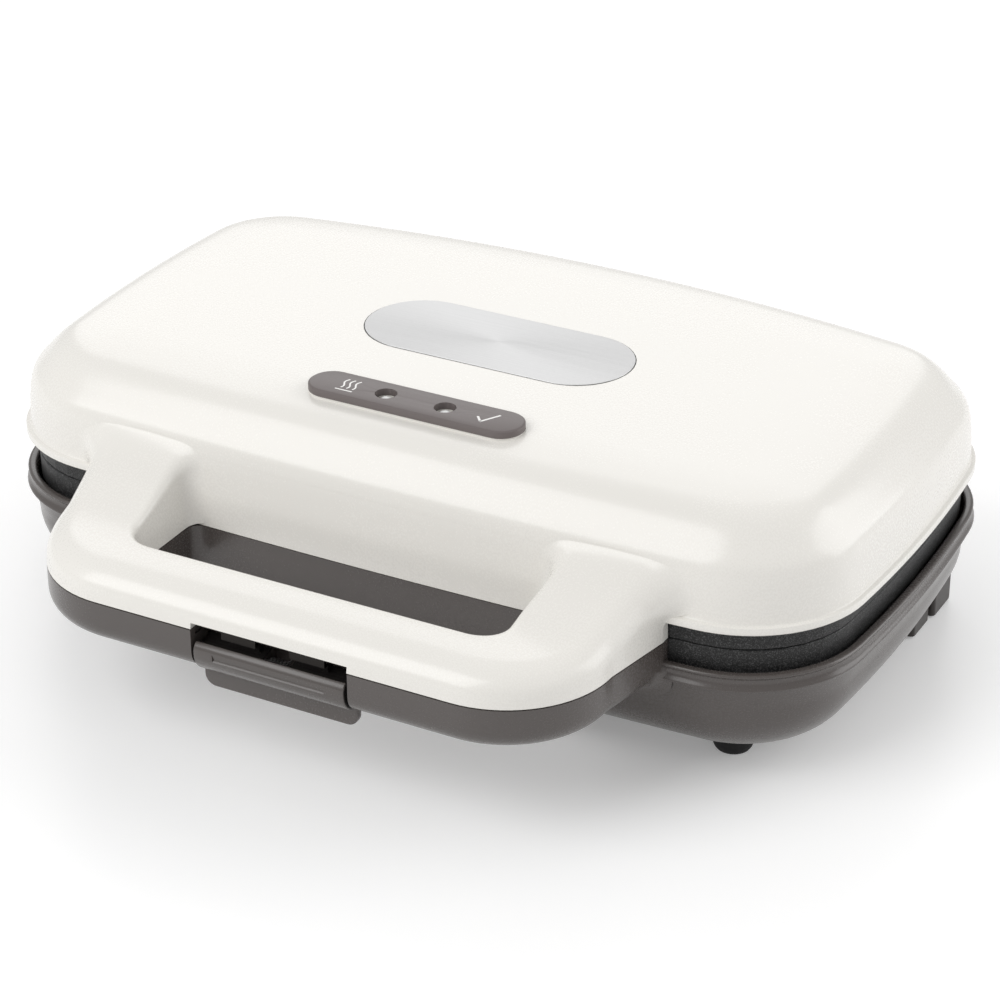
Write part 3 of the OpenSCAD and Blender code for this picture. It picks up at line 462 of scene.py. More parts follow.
plastics = {  # colour, roughness, its shift, coat, grain scale, bump depth, tone shift, gloss
    "lidWhite": ((0.83, 0.81, 0.765), 0.27, 0.06, 0.25, 1600.0, 0.01, 0.02, 0.5),
    "baseTaupe": ((0.081, 0.070, 0.065), 0.26, 0.08, 0.2, 1500.0, 0.01, 0.08, 0.5),
    "stripTaupe": ((0.150, 0.128, 0.124), 0.42, 0.08, 0.0, 1700.0, 0.02, 0.06, 0.5),
    "rubber": ((0.012, 0.012, 0.013), 0.62, 0.12, 0.0, 1200.0, 0.05, 0.2, 0.3),
    "wireSleeve": ((0.40, 0.06, 0.04), 0.5, 0.1, 0.0, 1200.0, 0.03, 0.15, 0.5),
    "ceramic": ((0.62, 0.58, 0.48), 0.55, 0.12, 0.0, 900.0, 0.05, 0.12, 0.5),
    "printWhite": ((0.88, 0.87, 0.85), 0.5, 0.1, 0.0, 1500.0, 0.01, 0.05, 0.5),
    "footTaupe": ((0.046, 0.040, 0.037), 0.4, 0.1, 0.0, 1500.0, 0.01, 0.1, 0.35),
    # painted shade: near-black colour for the ring in the gap round the badge
    "paintedGapShade": ((0.03, 0.028, 0.027), 0.6, 0.1, 0.0, 1500.0, 0.01, 0.1, 0.5),
    # painted shade: near-black plastic for the latch parts deep in the notch, standing in for the
    # shade there
    "paintedNotchShade": ((0.018, 0.016, 0.015), 0.55, 0.1, 0.0, 1500.0, 0.01, 0.1, 0.2),
}
metals = {  # colour, roughness, stretch of the brushing, its contrast, anisotropy
    "badgeSteel": ((0.50, 0.50, 0.50), 0.36, (10.0, 1500.0, 1500.0), 0.5, 0.4),
    "plainSteel": ((0.55, 0.55, 0.56), 0.32, (60.0, 500.0, 500.0), 0.3, 0.0),
    # painted shade: the striker is coloured near black so the notch behind the clip reads as
    # shaded
    "paintedShadeSteel": ((0.035, 0.032, 0.030), 0.5, (60.0, 500.0, 500.0), 0.3, 0.0),
    "elementSteel": ((0.22, 0.21, 0.20), 0.45, (200.0, 200.0, 60.0), 0.5, 0.0),
    "trayMetal": ((0.78, 0.78, 0.79), 0.28, (20.0, 700.0, 700.0), 0.25, 0.0),
}
clearPlastics = {  # colour, roughness, transmission
    "lens": ((0.93, 0.93, 0.92), 0.25, 0.15),
    "lampGlass": ((0.95, 0.9, 0.85), 0.05, 0.8),
}
look = {name: mouldedPlastic(name, *values) for name, values in plastics.items()}
look.update({name: brushedMetal(name, *values) for name, values in metals.items()})
look.update({name: clearPiece(name, *values) for name, values in clearPlastics.items()})
look["nonStick"] = nonStickCoating("nonStick", coating)
print("materials made:", len(look))


lidShape = {
    "lipHeight": 2.6,
    "edgeRound": 0.35,
    "shoulder": [(1.25, 0.25), (1.5, 0.55)],  # inset and rise over the lip
    "wallThick": 2.2,
    "ledgeInset": 9.0,
    "profile": [(1.6, 3.6), (1.75, 8.0), (2.15, 13.5), (2.7, 17.4), (3.8, 20.6), (5.4, 22.9),
                (7.6, 25.3), (11.4, 29.2), (15.0, 31.7), (19.0, 32.8), (25.0, 33.5), (31.0, 34.0),
                (38.0, 34.3)],
    "badgeSeat": (96.1, 39.6, 2.3, 1.0),  # length, width, distance behind the plan centre, depth
    "stripSeat": (75.6, 15.0, 92.4),  # length, width, height of its top
    "seatSteps": [(0, 3.2), (0.2, 3.4)],  # inset and rise from its foot
    "lampPitch": 21.2,
    "lampY": 53.0,
    "lampHole": (7.2, 14),  # width and depth
}


def makeLidBody(shape):
    lidZ, r = body["lidZ"], shape["edgeRound"]
    lid = flatFace(bodyOutline(0), lidZ + r)
    lip = shape["lipHeight"]
    steps = [(0, lip - 2 * r), (0.12, lip - r - 0.12), (r, lip - r)]
    steps += [(x, lip + z - r) for x, z in shape["shoulder"]]
    steps += [(x, z - r) for x, z in smoothLine(shape["profile"], 3)]
    buildUp(lid, steps)
    startEdit(lid, "FACE")
    low = (lidZ + r) * mm + 1e-6
    pickFaces(lid, lambda f: f.normal.z < -0.9 and f.calc_center_median().z < low)
    bpy.ops.mesh.inset(thickness=r * mm, depth=r * mm)
    bpy.ops.mesh.inset(thickness=(shape["ledgeInset"] - r) * mm, depth=0)
    bpy.ops.mesh.delete(type="FACE")
    endEdit()
    fixNormals(lid)
    useModifier(lid, "SOLIDIFY", thickness=shape["wallThick"] * mm, offset=-1.0,
                use_even_offset=True)
    return lid


def cutLidSeats(lid, shape):
    topZ = body["lidZ"] + shape["profile"][-1][1]
    length, width, back, depth = shape["badgeSeat"]
    seat = flatFace(stadium(length, width, 0, body["centreY"] + back), topZ - depth)
    buildUp(seat, [(0, 4.0)])
    fixNormals(seat)
    cutWith(lid, seat)
    length, width, high = shape["stripSeat"]
    steps = shape["seatSteps"]
    lampLine = body["centreY"] - shape["lampY"]
    raised = flatFace(stadium(length, width, 0, lampLine), high - steps[-1][1])
    buildUp(raised, steps)
    fixNormals(raised)
    cutWith(lid, raised, "UNION")
    cutLampHoles(lid, shape, topZ, 0)


def lampSpot(shape, side, z):
    return side * shape["lampPitch"] / 2 * mm, (body["centreY"] - shape["lampY"]) * mm, z * mm


def cutLampHoles(obj, shape, z, chamfer):
    width, depth = shape["lampHole"]
    r = width / 2
    for side in (-1, 1):
        spot = lampSpot(shape, side, z)
        deselectAll()
        bpy.ops.mesh.primitive_cylinder_add(vertices=48, radius=r * mm, depth=depth * mm,
                                            location=spot)
        hole = bpy.context.object
        settle(hole)
        cutWith(obj, hole)
        if chamfer:
            deselectAll()
            bpy.ops.mesh.primitive_cone_add(vertices=48, radius1=(r - chamfer) * mm,
                                            radius2=(r + chamfer) * mm,
                                            depth=2 * chamfer * mm, location=spot)
            rim = bpy.context.object
            settle(rim)
            cutWith(obj, rim)


def gripHeight(y, shape):  # height of a leg at a depth y, measured from the plan centre
    if not shape["ramp"]:
        return shape["barHeight"]
    start, end = shape["ramp"]
    t = min(max((y - start) / (end - start), 0.0), 1.0)
    eased = t * t * 1.5 if t < 0.3 else t * 1.235 - 0.235  # a slow start, then straight
    return shape["barHeight"] + (shape["legHeight"] - shape["barHeight"]) * eased


def gripSection(width, height, inner, outer, flare, draft):
    skin = []  # from the inner foot over the top to the outer foot
    for i in range(5):
        skin.append((flare * i / 5, (height - inner[1]) * i / 5))
    for i in range(8):
        a = math.pi - math.pi / 2 * i / 7
        skin.append((flare + inner[0] * (1 + math.cos(a)), height - inner[1] * (1 - math.sin(a))))
    left, right = flare + inner[0], width - draft - outer[0]
    for i in range(1, 6):
        t = i / 6
        skin.append((left + (right - left) * t, height + 0.2 * math.sin(math.pi * t)))
    for i in range(11):
        a = math.pi / 2 * (1 - i / 10)
        skin.append((right + outer[0] * math.cos(a), height - outer[1] * (1 - math.sin(a))))
    for i in range(1, 6):
        skin.append((width - draft * (1 - i / 5), (height - outer[1]) * (1 - i / 5)))
    return skin


def blendPair(a, b, t):
    return tuple(p + (q - p) * t for p, q in zip(a, b))


def softStep(t):
    t = min(max(t, 0.0), 1.0)
    return t * t * (3 - 2 * t)


def gripRings(shape):  # rings of the right half, from the middle of the bar to the wall
    rings = []
    cy, sign, footZ, rib = body["centreY"], shape["sign"], shape["footZ"], shape["wall"]
    rIn, rOut = shape["gapRadius"], shape["outerRadius"]
    cornerIn = (shape["gapHalf"] - rIn, shape["gapFront"] + rIn)
    cornerOut = (shape["frontHalf"] - rOut, shape["front"] + rOut)
    rootY = 20 - body["depth"] / 2

    def placed(ring):  # adds the hollow for the cover and puts the ring in the frame
        xin, yin, xout, yout = ring[0][0], ring[0][1], ring[-1][0], ring[-1][1]
        span = math.hypot(xout - xin, yout - yin)
        ux, uy = (xout - xin) / span * rib, (yout - yin) / span * rib
        ring = ring + [(xout - ux, yout - uy, 0), (xout - ux, yout - uy, 2.6),
                       (xin + ux, yin + uy, 2.6), (xin + ux, yin + uy, 0)]
        rings.append([(x, y + cy, footZ + sign * h) for x, y, h in ring])

    def between(near, far, t):  # a ring from the inner to the outer line, t from bar to leg
        width = math.hypot(far[0] - near[0], far[1] - near[1])
        ux, uy = (far[0] - near[0]) / width, (far[1] - near[1]) / width
        inner = blendPair(shape["barInner"], shape["legInner"], t)
        outer = blendPair(shape["barOuter"], shape["legOuter"], t)
        flare = shape["barFlare"] + (shape["legFlare"] - shape["barFlare"]) * t
        count = len(gripSection(width, 10, inner, outer, flare, shape["draft"]))
        ring = []
        for i in range(count):
            d = gripSection(width, 10, inner, outer, flare, shape["draft"])[i][0]
            y = near[1] + uy * d
            h = gripSection(width, gripHeight(y, shape), inner, outer, flare, shape["draft"])[i][1]
            ring.append((near[0] + ux * d, y, h))
        return ring

    for i in range(13):  # along the bar
        t = i / 13
        near, far = (cornerIn[0] * t, shape["gapFront"]), (cornerOut[0] * t, shape["front"])
        placed(between(near, far, 0))
    for i in range(19):  # round the corner
        t = i / 18
        a = math.radians(-90 + 90 * t)
        near = (cornerIn[0] + rIn * math.cos(a), cornerIn[1] + rIn * math.sin(a))
        far = (cornerOut[0] + rOut * math.cos(a), cornerOut[1] + rOut * math.sin(a))
        placed(between(near, far, softStep(t)))

    def legSkin(y):
        t = softStep((y - cornerIn[1]) / 24)
        xin = shape["gapHalf"]
        spread = shape["rootHalf"] - shape["frontHalf"]
        grow = spread * (y - cornerOut[1]) / (rootY - cornerOut[1])
        xout = shape["frontHalf"] + max(grow, 0)
        inner = blendPair(shape["legInner"], shape["rootInner"], t)
        outer = shape["legOuter"]
        flare = shape["legFlare"] + (shape["rootFlare"] - shape["legFlare"]) * t
        skin = gripSection(xout - xin, gripHeight(y, shape), inner, outer, flare, shape["draft"])
        return [(xin + d, h) for d, h in skin]

    base = legSkin(cornerIn[1])
    count = len(base)
    first, last = base[0][0], base[-1][0]
    starts = [cornerIn[1] + (cornerOut[1] - cornerIn[1]) * (x - first) / (last - first)
              for x, h in base]
    side, crown, flank = shape["fillets"]
    reach = []
    for i in range(count):
        if i < 16:
            pair = blendPair(side, crown, softStep((i - 6) / 6))
        else:
            pair = blendPair(crown, flank, softStep((i - 19) / 8))
        reach.append(pair)
    walls = frontLine(85, 0.8) - cy
    longest = max(r for r, g in reach)
    steps = 10
    for j in range(1, steps + 1):  # straight part of the leg
        ring = []
        for i in range(count):
            y = starts[i] + (walls - reach[i][0] - starts[i]) * j / steps
            x, h = legSkin(y)[i]
            ring.append((x, y, h))
        placed(ring)
    for j in range(1, 10):  # fillet onto the wall
        phi = math.pi / 2 * (1 - j / 9)
        ring = []
        for i in range(count):
            dist = reach[i][0] * (1 - math.cos(phi))
            grow = reach[i][1] * (1 - math.sin(phi))
            y = walls - dist
            skin = legSkin(y)
            (x0, h0), (x1, h1) = skin[max(i - 1, 0)], skin[min(i + 1, count - 1)]
            length = math.hypot(x1 - x0, h1 - h0)
            x, h = skin[i]
            if i > 18:
                grow *= softStep((h - shape["fade"][0]) / (shape["fade"][1] - shape["fade"][0]))
            x, h = x - (h1 - h0) / length * grow, max(h + (x1 - x0) / length * grow, 0)
            real = frontLine(x, shape["wallInset"](footZ + sign * h, i > 18)) - cy
            ring.append((x, y + (real - walls) * (1 - dist / longest) ** 2, h))
        placed(ring)
    back = shape["returnInset"]  # the last ring lies back at the cooking plates
    placed([(x, frontLine(x, back) - cy, h) for x, y, h in ring])
    return rings


def makeLoft(rings):  # slides a primitive grid onto the rings and closes it
    rows, cols = len(rings), len(rings[0])
    deselectAll()
    bpy.ops.mesh.primitive_grid_add(x_subdivisions=cols, y_subdivisions=rows - 1, size=1)
    obj = bpy.context.object
    spots = []
    for ring in rings:
        spots += list(ring) + [ring[0]]
    placeVerts(obj, spots)
    startEdit(obj)
    bpy.ops.mesh.select_all(action="SELECT")
    bpy.ops.mesh.remove_doubles(threshold=0.000002)
    bpy.ops.mesh.select_all(action="DESELECT")
    bpy.ops.mesh.select_non_manifold(extend=False, use_wire=False, use_boundary=True,
                                     use_multi_face=False, use_non_contiguous=False,
                                     use_verts=False)
    bpy.ops.mesh.fill_holes(sides=0)
    endOutward()
    return obj


def mirrorRings(rings):
    left = [[(-x, y, z) for x, y, z in ring] for ring in rings[:0:-1]]
    return left + rings


def readLine(table, z):  # straight lines between (z, inset) pairs
    if z <= table[0][0]:
        return table[0][1]
    for (z0, v0), (z1, v1) in zip(table, table[1:]):
        if z <= z1:
            return v0 + (v1 - v0) * (z - z0) / (z1 - z0)
    return table[-1][1]


lidWall = [(z + body["lidZ"], x + 0.05) for x, z in lidShape["profile"]]
lidWallInside = [(51.0, -0.7), (54.0, -0.58), (57.5, -0.34), (60.6, -0.08), (63.0, 0.36),
                 (65.5, 0.92), (68.0, 1.46), (70.5, 1.9), (73.0, 2.32), (75.3, 2.78), (78.5, 3.86)]
baseWallInside = [(27.5, 1.4), (30.0, 0.62), (33.0, -0.1), (36.0, -0.72), (39.4, -1.05),
                  (44.5, -1.0), (50.8, -0.85)]


def lidWallInset(z, outside):  # where the lid's front wall stands at a height
    if not outside:
        return readLine(lidWallInside, z)
    return 0.0 if z < 60.6 else readLine(lidWall, z)


def baseWallInset(z, outside):
    if not outside:
        return readLine(baseWallInside, z)
    return 0.0 if z > 44.45 else 0.25


lidGrip = {
    "sign": 1, "footZ": 51.2, "front": -143.5, "frontHalf": 96.7, "rootHalf": 105.4,
    "outerRadius": 34.8, "gapFront": -121.0, "gapHalf": 63.3, "gapRadius": 8.0,
    "wall": 2.6, "draft": 0.3,
    "barHeight": 10.8, "legHeight": 22.85, "ramp": (-124.0, -80.0),
    "barInner": (1.0, 0.9), "legInner": (2.8, 2.4), "rootInner": (4.4, 4.0),
    "barOuter": (12.0, 8.2), "legOuter": (9.0, 8.0),
    "barFlare": 1.2, "legFlare": 2.0, "rootFlare": 3.2,
    "fillets": ((6.7, 6.7), (9.0, 4.6), (9.0, 9.0)),  # reach and growth: inside, top, outside
    "fade": (6.85, 12.0),  # heights between which the outer fillet sets in
    "wallInset": lidWallInset, "returnInset": 3.3,
}

baseGrip = dict(lidGrip, sign=-1, footZ=50.75, barHeight=14.45, legHeight=14.45, ramp=None,
                barInner=(2.0, 2.0), legInner=(2.0, 2.0), rootInner=(3.0, 3.0),
                barOuter=(7.0, 7.0), legOuter=(7.0, 7.0),
                barFlare=0.0, legFlare=0.0, rootFlare=0.0, draft=0.0,
                fillets=((6.7, 6.7), (5.0, 5.0), (6.5, 6.5)), fade=(6.5, 13.0),
                wallInset=baseWallInset)


def makeBackStrip(table, inside, reachX, thick):  # wall between the legs behind the finger gap
    cols = 44
    deselectAll()
    bpy.ops.mesh.primitive_grid_add(x_subdivisions=cols, y_subdivisions=len(table) - 1, size=1)
    strip = bpy.context.object
    spots = []
    for z, inset in table:
        for i in range(cols + 1):
            x = reachX * (2 * i / cols - 1)
            spots.append((x, frontLine(x, inset + inside), z))
    placeVerts(strip, spots)
    strip.data.update()
    if strip.data.polygons[0].normal.y > 0:
        startEdit(strip, "FACE")
        bpy.ops.mesh.select_all(action="SELECT")
        bpy.ops.mesh.flip_normals()
        endEdit()
    useModifier(strip, "SOLIDIFY", thickness=thick * mm, offset=-1.0)
    return strip


def makeBlock(lowCorner, highCorner):  # a cutter for slots and notches
    deselectAll()
    size = [h - l for l, h in zip(lowCorner, highCorner)]
    centre = [(l + h) / 2 * mm for l, h in zip(lowCorner, highCorner)]
    bpy.ops.mesh.primitive_cube_add(size=1, location=centre)
    block = bpy.context.object
    block.scale = [v * mm for v in size]
    settle(block)
    return block


def makeSlot(half, front, back, low, high):
    return makeBlock((-half, front, low), (half, back, high))


latch = {
    "lidNotch": (27.2, -122, -106, 50, 53.25),  # half width, front, back, low, high
    "strikerRoom": (26.5, -117.8, -106, 50, 58),
    "baseSlot": (27.3, -122, -107.35, 34, 52),
    "axis": (-114.15, 42.3),
    "barrelHalf": 26.2,
    "outline": [(-118.75, 46.75), (-119.3, 46.85), (-119.85, 46.55), (-120.45, 45.9),
                (-120.85, 45.0), (-121.05, 44.1), (-121.05, 43.0), (-120.9, 41.8), (-120.6, 40.8),
                (-120.2, 39.8), (-119.65, 38.9), (-119.0, 38.05), (-118.2, 37.25), (-117.3, 36.6),
                (-116.4, 36.15), (-115.5, 35.9), (-114.0, 35.85), (-112.5, 36.4), (-110.5, 38.0),
                (-109.0, 39.0), (-108.2, 40.0), (-107.95, 41.3), (-107.95, 42.5), (-108.3, 44.3),
                (-109.3, 46.2), (-110.9, 46.0), (-112.5, 45.2), (-114.15, 44.8), (-115.6, 44.7),
                (-117.4, 44.7), (-118.2, 45.1), (-118.6, 46.2)],  # y and z round the barrel
    "tab": (27.0, 28.9, 38.6, -114.2, 2.4, 3.8),  # half width, low, high, front, thickness, corner
    "panel": (19.5, [(-123, 45.6), (-121.03, 45.0), (-120.55, 43.0), (-120.5, 42.75),
                     (-120.62, 42.45), (-120.95, 42.1), (-121.3, 42.0), (-123, 41.9)]),
    "bed": [(-118.55, 46.2), (-118.15, 45.15), (-117.35, 44.75), (-114.15, 44.85), (-112.5, 45.25),
            (-110.9, 46.05), (-110.9, 45.7), (-112.5, 44.9), (-114.15, 44.5), (-117.4, 44.4),
            (-118.4, 45.0), (-118.8, 46.1)],
    "hooks": ((-17, -7), (7, 17)),  # x of the two hooks
    "hookStem": (-113.93, -111.53, 50.7),  # front, back and high
    "hookNose": (-115.13, -113.0, 49.9, 50.65),  # front, back, low and high
    # painted shade: near-black plates on the clip's ends stand in for the shade in the end gaps
    "endShadePlate": (0.06, 0.4, 0.93),  # how far out, thickness, share of the outline
    "springHalf": 4.8,
    "springRoom": (3.2, 3.6, 9, 10),  # reach before, below, behind and above the axis
    "pinRadius": 1.56,
}

lidBody = makeLidBody(lidShape)
cutLidSeats(lidBody, lidShape)
smoothBy(lidBody, 32)
dress(lidBody, "lidBody", look["lidWhite"], "lid", ("lid_shell",))

lidLoop = makeLoft(mirrorRings(gripRings(lidGrip)))
cutWith(lidLoop, makeSlot(*latch["lidNotch"]))
cutWith(lidLoop, makeSlot(*latch["strikerRoom"]))
smoothBy(lidLoop, 38)
dress(lidLoop, "lidLoop", look["lidWhite"], "lid", ("lid_shell",))
lidStrip = makeBackStrip(lidWallInside, -0.02, 74.0, 1.2)
smoothBy(lidStrip, 38)
dress(lidStrip, "lidStrip", look["lidWhite"], "lid", ("lid_shell",))
print("white lid and grip modelled")


baseShape = {  # inside and rim: inset and drop below the rim, from the floor up and over
    "inside": [(22.0, 32.0), (14.0, 30.6), (8.0, 26.0), (4.2, 19.0), (3.3, 13.0), (3.0, 6.0),
               (2.8, 1.9), (2.45, 0.6), (2.2, 0.3)],
    "rim": [(1.8, 0.08), (1.2, 0.0), (0.5, 0.02), (-0.1, 0.15), (-0.35, 0.35), (-0.5, 0.7),
            (-0.45, 1.0), (-0.2, 1.3), (0.05, 1.6), (0.18, 2.2), (0.18, 2.9), (0.0, 3.5),
            (-0.3, 4.05), (-0.7, 4.6), (-0.95, 4.95), (-1.0, 5.2), (-0.92, 5.45), (-0.6, 5.7),
            (0.0, 5.95), (0.5, 6.15), (0.7, 6.6), (1.3, 9.0), (1.95, 11.5), (2.35, 13.4)],
    "wallIn": 2.45,
    "underRound": 20.0,
    "gland": (0.0, 116.0, 29.0, 5.4),  # x, y, z and radius of its hole
    "vents": (11, 8.0, 1.5, -30, -6),  # count, pitch, half width, front and back of the slots
}


def makeBaseBody(shape):
    rimZ, baseZ = body["rimZ"], body["baseZ"]
    r, wallIn = shape["underRound"], shape["wallIn"]
    line = shape["inside"] + shape["rim"] + [(wallIn, rimZ - baseZ - r)]
    for i in range(1, 13):
        a = math.pi / 2 * i / 12
        line.append((wallIn + r * (1 - math.cos(a)), rimZ - baseZ - r + r * math.sin(a)))
    tub = makeLoft([[(x, y, rimZ - drop) for x, y in bodyOutline(inset)] for inset, drop in line])
    fixNormals(tub)
    return tub


def openTub(tub, shape):
    deselectAll()
    x, y, z, r = shape["gland"]
    bpy.ops.mesh.primitive_cylinder_add(vertices=40, radius=r * mm, depth=16 * mm,
                                        rotation=(math.pi / 2, 0, 0),
                                        location=(x * mm, y * mm, z * mm))
    hole = bpy.context.object
    settle(hole)
    cutWith(tub, hole)
    count, pitch, half, front, back = shape["vents"]
    front, back = front + body["centreY"], back + body["centreY"]
    slots = []
    for i in range(count):
        x = (i - count // 2) * pitch
        slots.append(makeBlock((x - half, front, 8), (x + half, back, 14)))
    cutWith(tub, joinPieces(*slots))


baseTub = makeBaseBody(baseShape)
openTub(baseTub, baseShape)
smoothBy(baseTub, 32)
dress(baseTub, "baseTub", look["baseTaupe"], "base", ("base_shell",))

baseLoop = makeLoft(mirrorRings(gripRings(baseGrip)))
cutWith(baseLoop, makeSlot(*latch["baseSlot"]))
smoothBy(baseLoop, 38)
dress(baseLoop, "baseLoop", look["baseTaupe"], "base", ("base_shell",))
baseStrip = makeBackStrip(baseWallInside, -0.02, 74.0, 2.0)
smoothBy(baseStrip, 38)
dress(baseStrip, "baseStrip", look["baseTaupe"], "base", ("base_shell",))
print("taupe base and grip modelled")


def prism(spots, step):  # fills a closed line of points and extrudes it by one step
    deselectAll()
    bpy.ops.mesh.primitive_circle_add(vertices=len(spots), radius=1, fill_type="NGON")
    obj = bpy.context.object
    placeVerts(obj, spots)
    startEdit(obj, "FACE")
    bpy.ops.mesh.select_all(action="SELECT")
    pushOut(*step)
    endOutward()
    return obj


def softEdges(obj, width):
    useModifier(obj, "BEVEL", width=width * mm, segments=3, limit_method="ANGLE",
                angle_limit=math.radians(50), harden_normals=False)


def cutSpringRoom(obj, values):
    x = values["springHalf"]
    axisY, axisZ = values["axis"]
    front, below, back, above = values["springRoom"]
    cutWith(obj, makeBlock((-x, axisY - front, axisZ - below), (x, axisY + back, axisZ + above)))


def cutPinBore(obj, values):
    axisY, axisZ = values["axis"]
    deselectAll()
    bpy.ops.mesh.primitive_cylinder_add(vertices=32, radius=values["pinRadius"] * mm,
                                        depth=80 * mm, rotation=(0, math.pi / 2, 0),
                                        location=(0, axisY * mm, axisZ * mm))
    bore = bpy.context.object
    settle(bore)
    cutWith(obj, bore)


def makeClip(values):
    half = values["barrelHalf"]
    clip = prism([(-half, y, z) for y, z in values["outline"]], (2 * half, 0, 0))
    softEdges(clip, 0.35)
    wide, low, high, front, thick, r = values["tab"]
    corners = arcPoints(r - wide, low + r, r, 180, 270, 10, last=True)
    corners += arcPoints(wide - r, low + r, r, 270, 360, 10, last=True)
    corners += [(wide, high), (-wide, high)]
    tab = prism([(x, front, z) for x, z in corners], (0, thick, 0))
    softEdges(tab, 0.45)
    cutWith(clip, tab, "UNION")
    x, spots = values["panel"]
    cutWith(clip, prism([(-x, y, z) for y, z in spots], (2 * x, 0, 0)))
    cutSpringRoom(clip, values)
    cutPinBore(clip, values)
    return clip


def makeClipCore(values):  # the hooks, the bed below them and end plates inside the notch, all near black: painted shade standing in for the shadow in the notch
    half = values["barrelHalf"]
    core = prism([(0.2 - half, y, z) for y, z in values["bed"]], (2 * half - 0.4, 0, 0))
    axisY, axisZ = values["axis"]
    cutSpringRoom(core, values)
    front, back, top = values["hookStem"]
    noseFront, noseBack, noseLow, noseTop = values["hookNose"]
    for left, right in values["hooks"]:
        cutWith(core, makeBlock((left, front, axisZ), (right, back, top)), "UNION")
        cutWith(core, makeBlock((left, noseFront, noseLow), (right, noseBack, noseTop)), "UNION")
    proud, thick, share = values["endShadePlate"]
    for side in (-1, 1):
        spots = [(side * (half + proud), axisY + (y - axisY) * share, axisZ + (z - axisZ) * share)
                 for y, z in values["outline"]]
        cutWith(core, prism(spots, (-side * thick, 0, 0)), "UNION")
    cutPinBore(core, values)
    return core


pullClip = makeClip(latch)
smoothBy(pullClip, 32)
dress(pullClip, "pullClip", look["baseTaupe"], "clip", ("latch_clip",))
# near-black latch core: painted shade inside the notch
clipCore = makeClipCore(latch)
dress(clipCore, "clipCore", look["paintedNotchShade"], "clip", ("latch_clip",))
print("latch clip modelled")


topFittings = {
    "strip": (76.0, 15.4, 92.4),  # length, width, underside
    "stripSteps": [(0.0, 1.9), (0.06, 2.05), (0.5, 2.36), (0.62, 2.4)],
    "chamfer": 0.35,
    "badge": (95.5, 39.0, 91.3),
    "badgeSteps": [(0.0, 0.98), (0.12, 1.1)],
    "grooveZ": 91.75,
    "printZ": 94.8,
    "printWidth": 0.55,
    "waves": (-25.8, -23.7, -21.6),  # x of the three heat waves
    "waveSpan": (-32.6, -26.5),
    "heatBar": (-26.8, -20.7, -34.0),
    "tick": [(22.5, -30.4), (24.9, -33.3), (28.6, -26.7)],
    "tickWidth": 0.75,
    "lens": (2.6, 91.6, 1.9),  # radius of the dome, height of its foot, its rise
}


def makeStrip(values, shape):
    length, width, z = values["strip"]
    strip = flatFace(stadium(length, width, 0, body["centreY"] - shape["lampY"], 28), z)
    buildUp(strip, values["stripSteps"])
    fixNormals(strip)
    cutLampHoles(strip, shape, z + values["stripSteps"][-1][1], values["chamfer"])
    return strip


def makeRibbon(points, width, z):  # a printed line along points, just proud of its ground
    deselectAll()
    bpy.ops.mesh.primitive_grid_add(x_subdivisions=1, y_subdivisions=len(points) - 1, size=1)
    ribbon = bpy.context.object
    spots = []
    for i, (x, y) in enumerate(points):
        a, b = points[max(i - 1, 0)], points[min(i + 1, len(points) - 1)]
        dx, dy = b[0] - a[0], b[1] - a[1]
        span = math.hypot(dx, dy)
        px, py = dy / span * width / 2, -dx / span * width / 2
        spots += [(x - px, y - py, z), (x + px, y + py, z)]
    placeVerts(ribbon, spots)
    startEdit(ribbon, "FACE")
    bpy.ops.mesh.select_all(action="SELECT")
    pushOut(0, 0, 0.03)
    endOutward()
    return ribbon


def makeHeatMark(values):
    low, high = values["waveSpan"]
    lines = []
    for x in values["waves"]:
        points = [(x + 0.55 * math.sin(2 * math.pi * i / 20 + 0.4), low + (high - low) * i / 20)
                  for i in range(21)]
        lines.append(makeRibbon(points, values["printWidth"], values["printZ"]))
    left, right, y = values["heatBar"]
    lines.append(makeRibbon([(left, y), (right, y)], values["printWidth"], values["printZ"]))
    return joinPieces(*lines)


def makeTick(values):
    a, b, c = values["tick"]
    width, z = values["tickWidth"], values["printZ"]
    left = makeRibbon([a, b], width, z)
    right = makeRibbon([(b[0] - 0.2, b[1] - 0.2), c], width, z)
    return joinPieces(left, right)


def makeBadge(values, shape):
    length, width, z = values["badge"]
    badge = flatFace(stadium(length, width, 0, body["centreY"] + shape["badgeSeat"][2], 40), z)
    buildUp(badge, values["badgeSteps"])
    fixNormals(badge)
    return badge


def makeGroove(values, shape):  # painted shade: a near-black ring in the gap round the badge, standing in for the shade in that crevice
    centre = body["centreY"] + shape["badgeSeat"][2]
    length, width = shape["badgeSeat"][0] - 0.02, shape["badgeSeat"][1] - 0.02
    groove = flatFace(stadium(length, width, 0, centre, 40), values["grooveZ"] - 0.3)
    buildUp(groove, [(0, 0.3)])
    fixNormals(groove)
    length, width, z = values["badge"]
    core = flatFace(stadium(length + 0.02, width + 0.02, 0, centre, 40), z - 1)
    buildUp(core, [(0, 3)])
    fixNormals(core)
    cutWith(groove, core)
    return groove


def makeLens(values, shape, side):
    r, foot, rise = values["lens"]
    deselectAll()
    spot = lampSpot(shape, side, foot)
    bpy.ops.mesh.primitive_uv_sphere_add(segments=40, ring_count=20, radius=1, location=spot)
    lens = bpy.context.object
    lens.scale = (r * mm, r * mm, rise * mm)
    settle(lens)
    startEdit(lens, "FACE")
    bpy.ops.mesh.select_all(action="SELECT")
    bpy.ops.mesh.bisect(plane_co=spot, plane_no=(0, 0, 1), use_fill=True, clear_inner=True)
    endEdit()
    startEdit(lens, "FACE")
    pickFaces(lens, lambda f: f.normal.z < -0.9 or len(f.verts) > 8)
    pushOut(0, 0, -2)
    endOutward()
    return lens


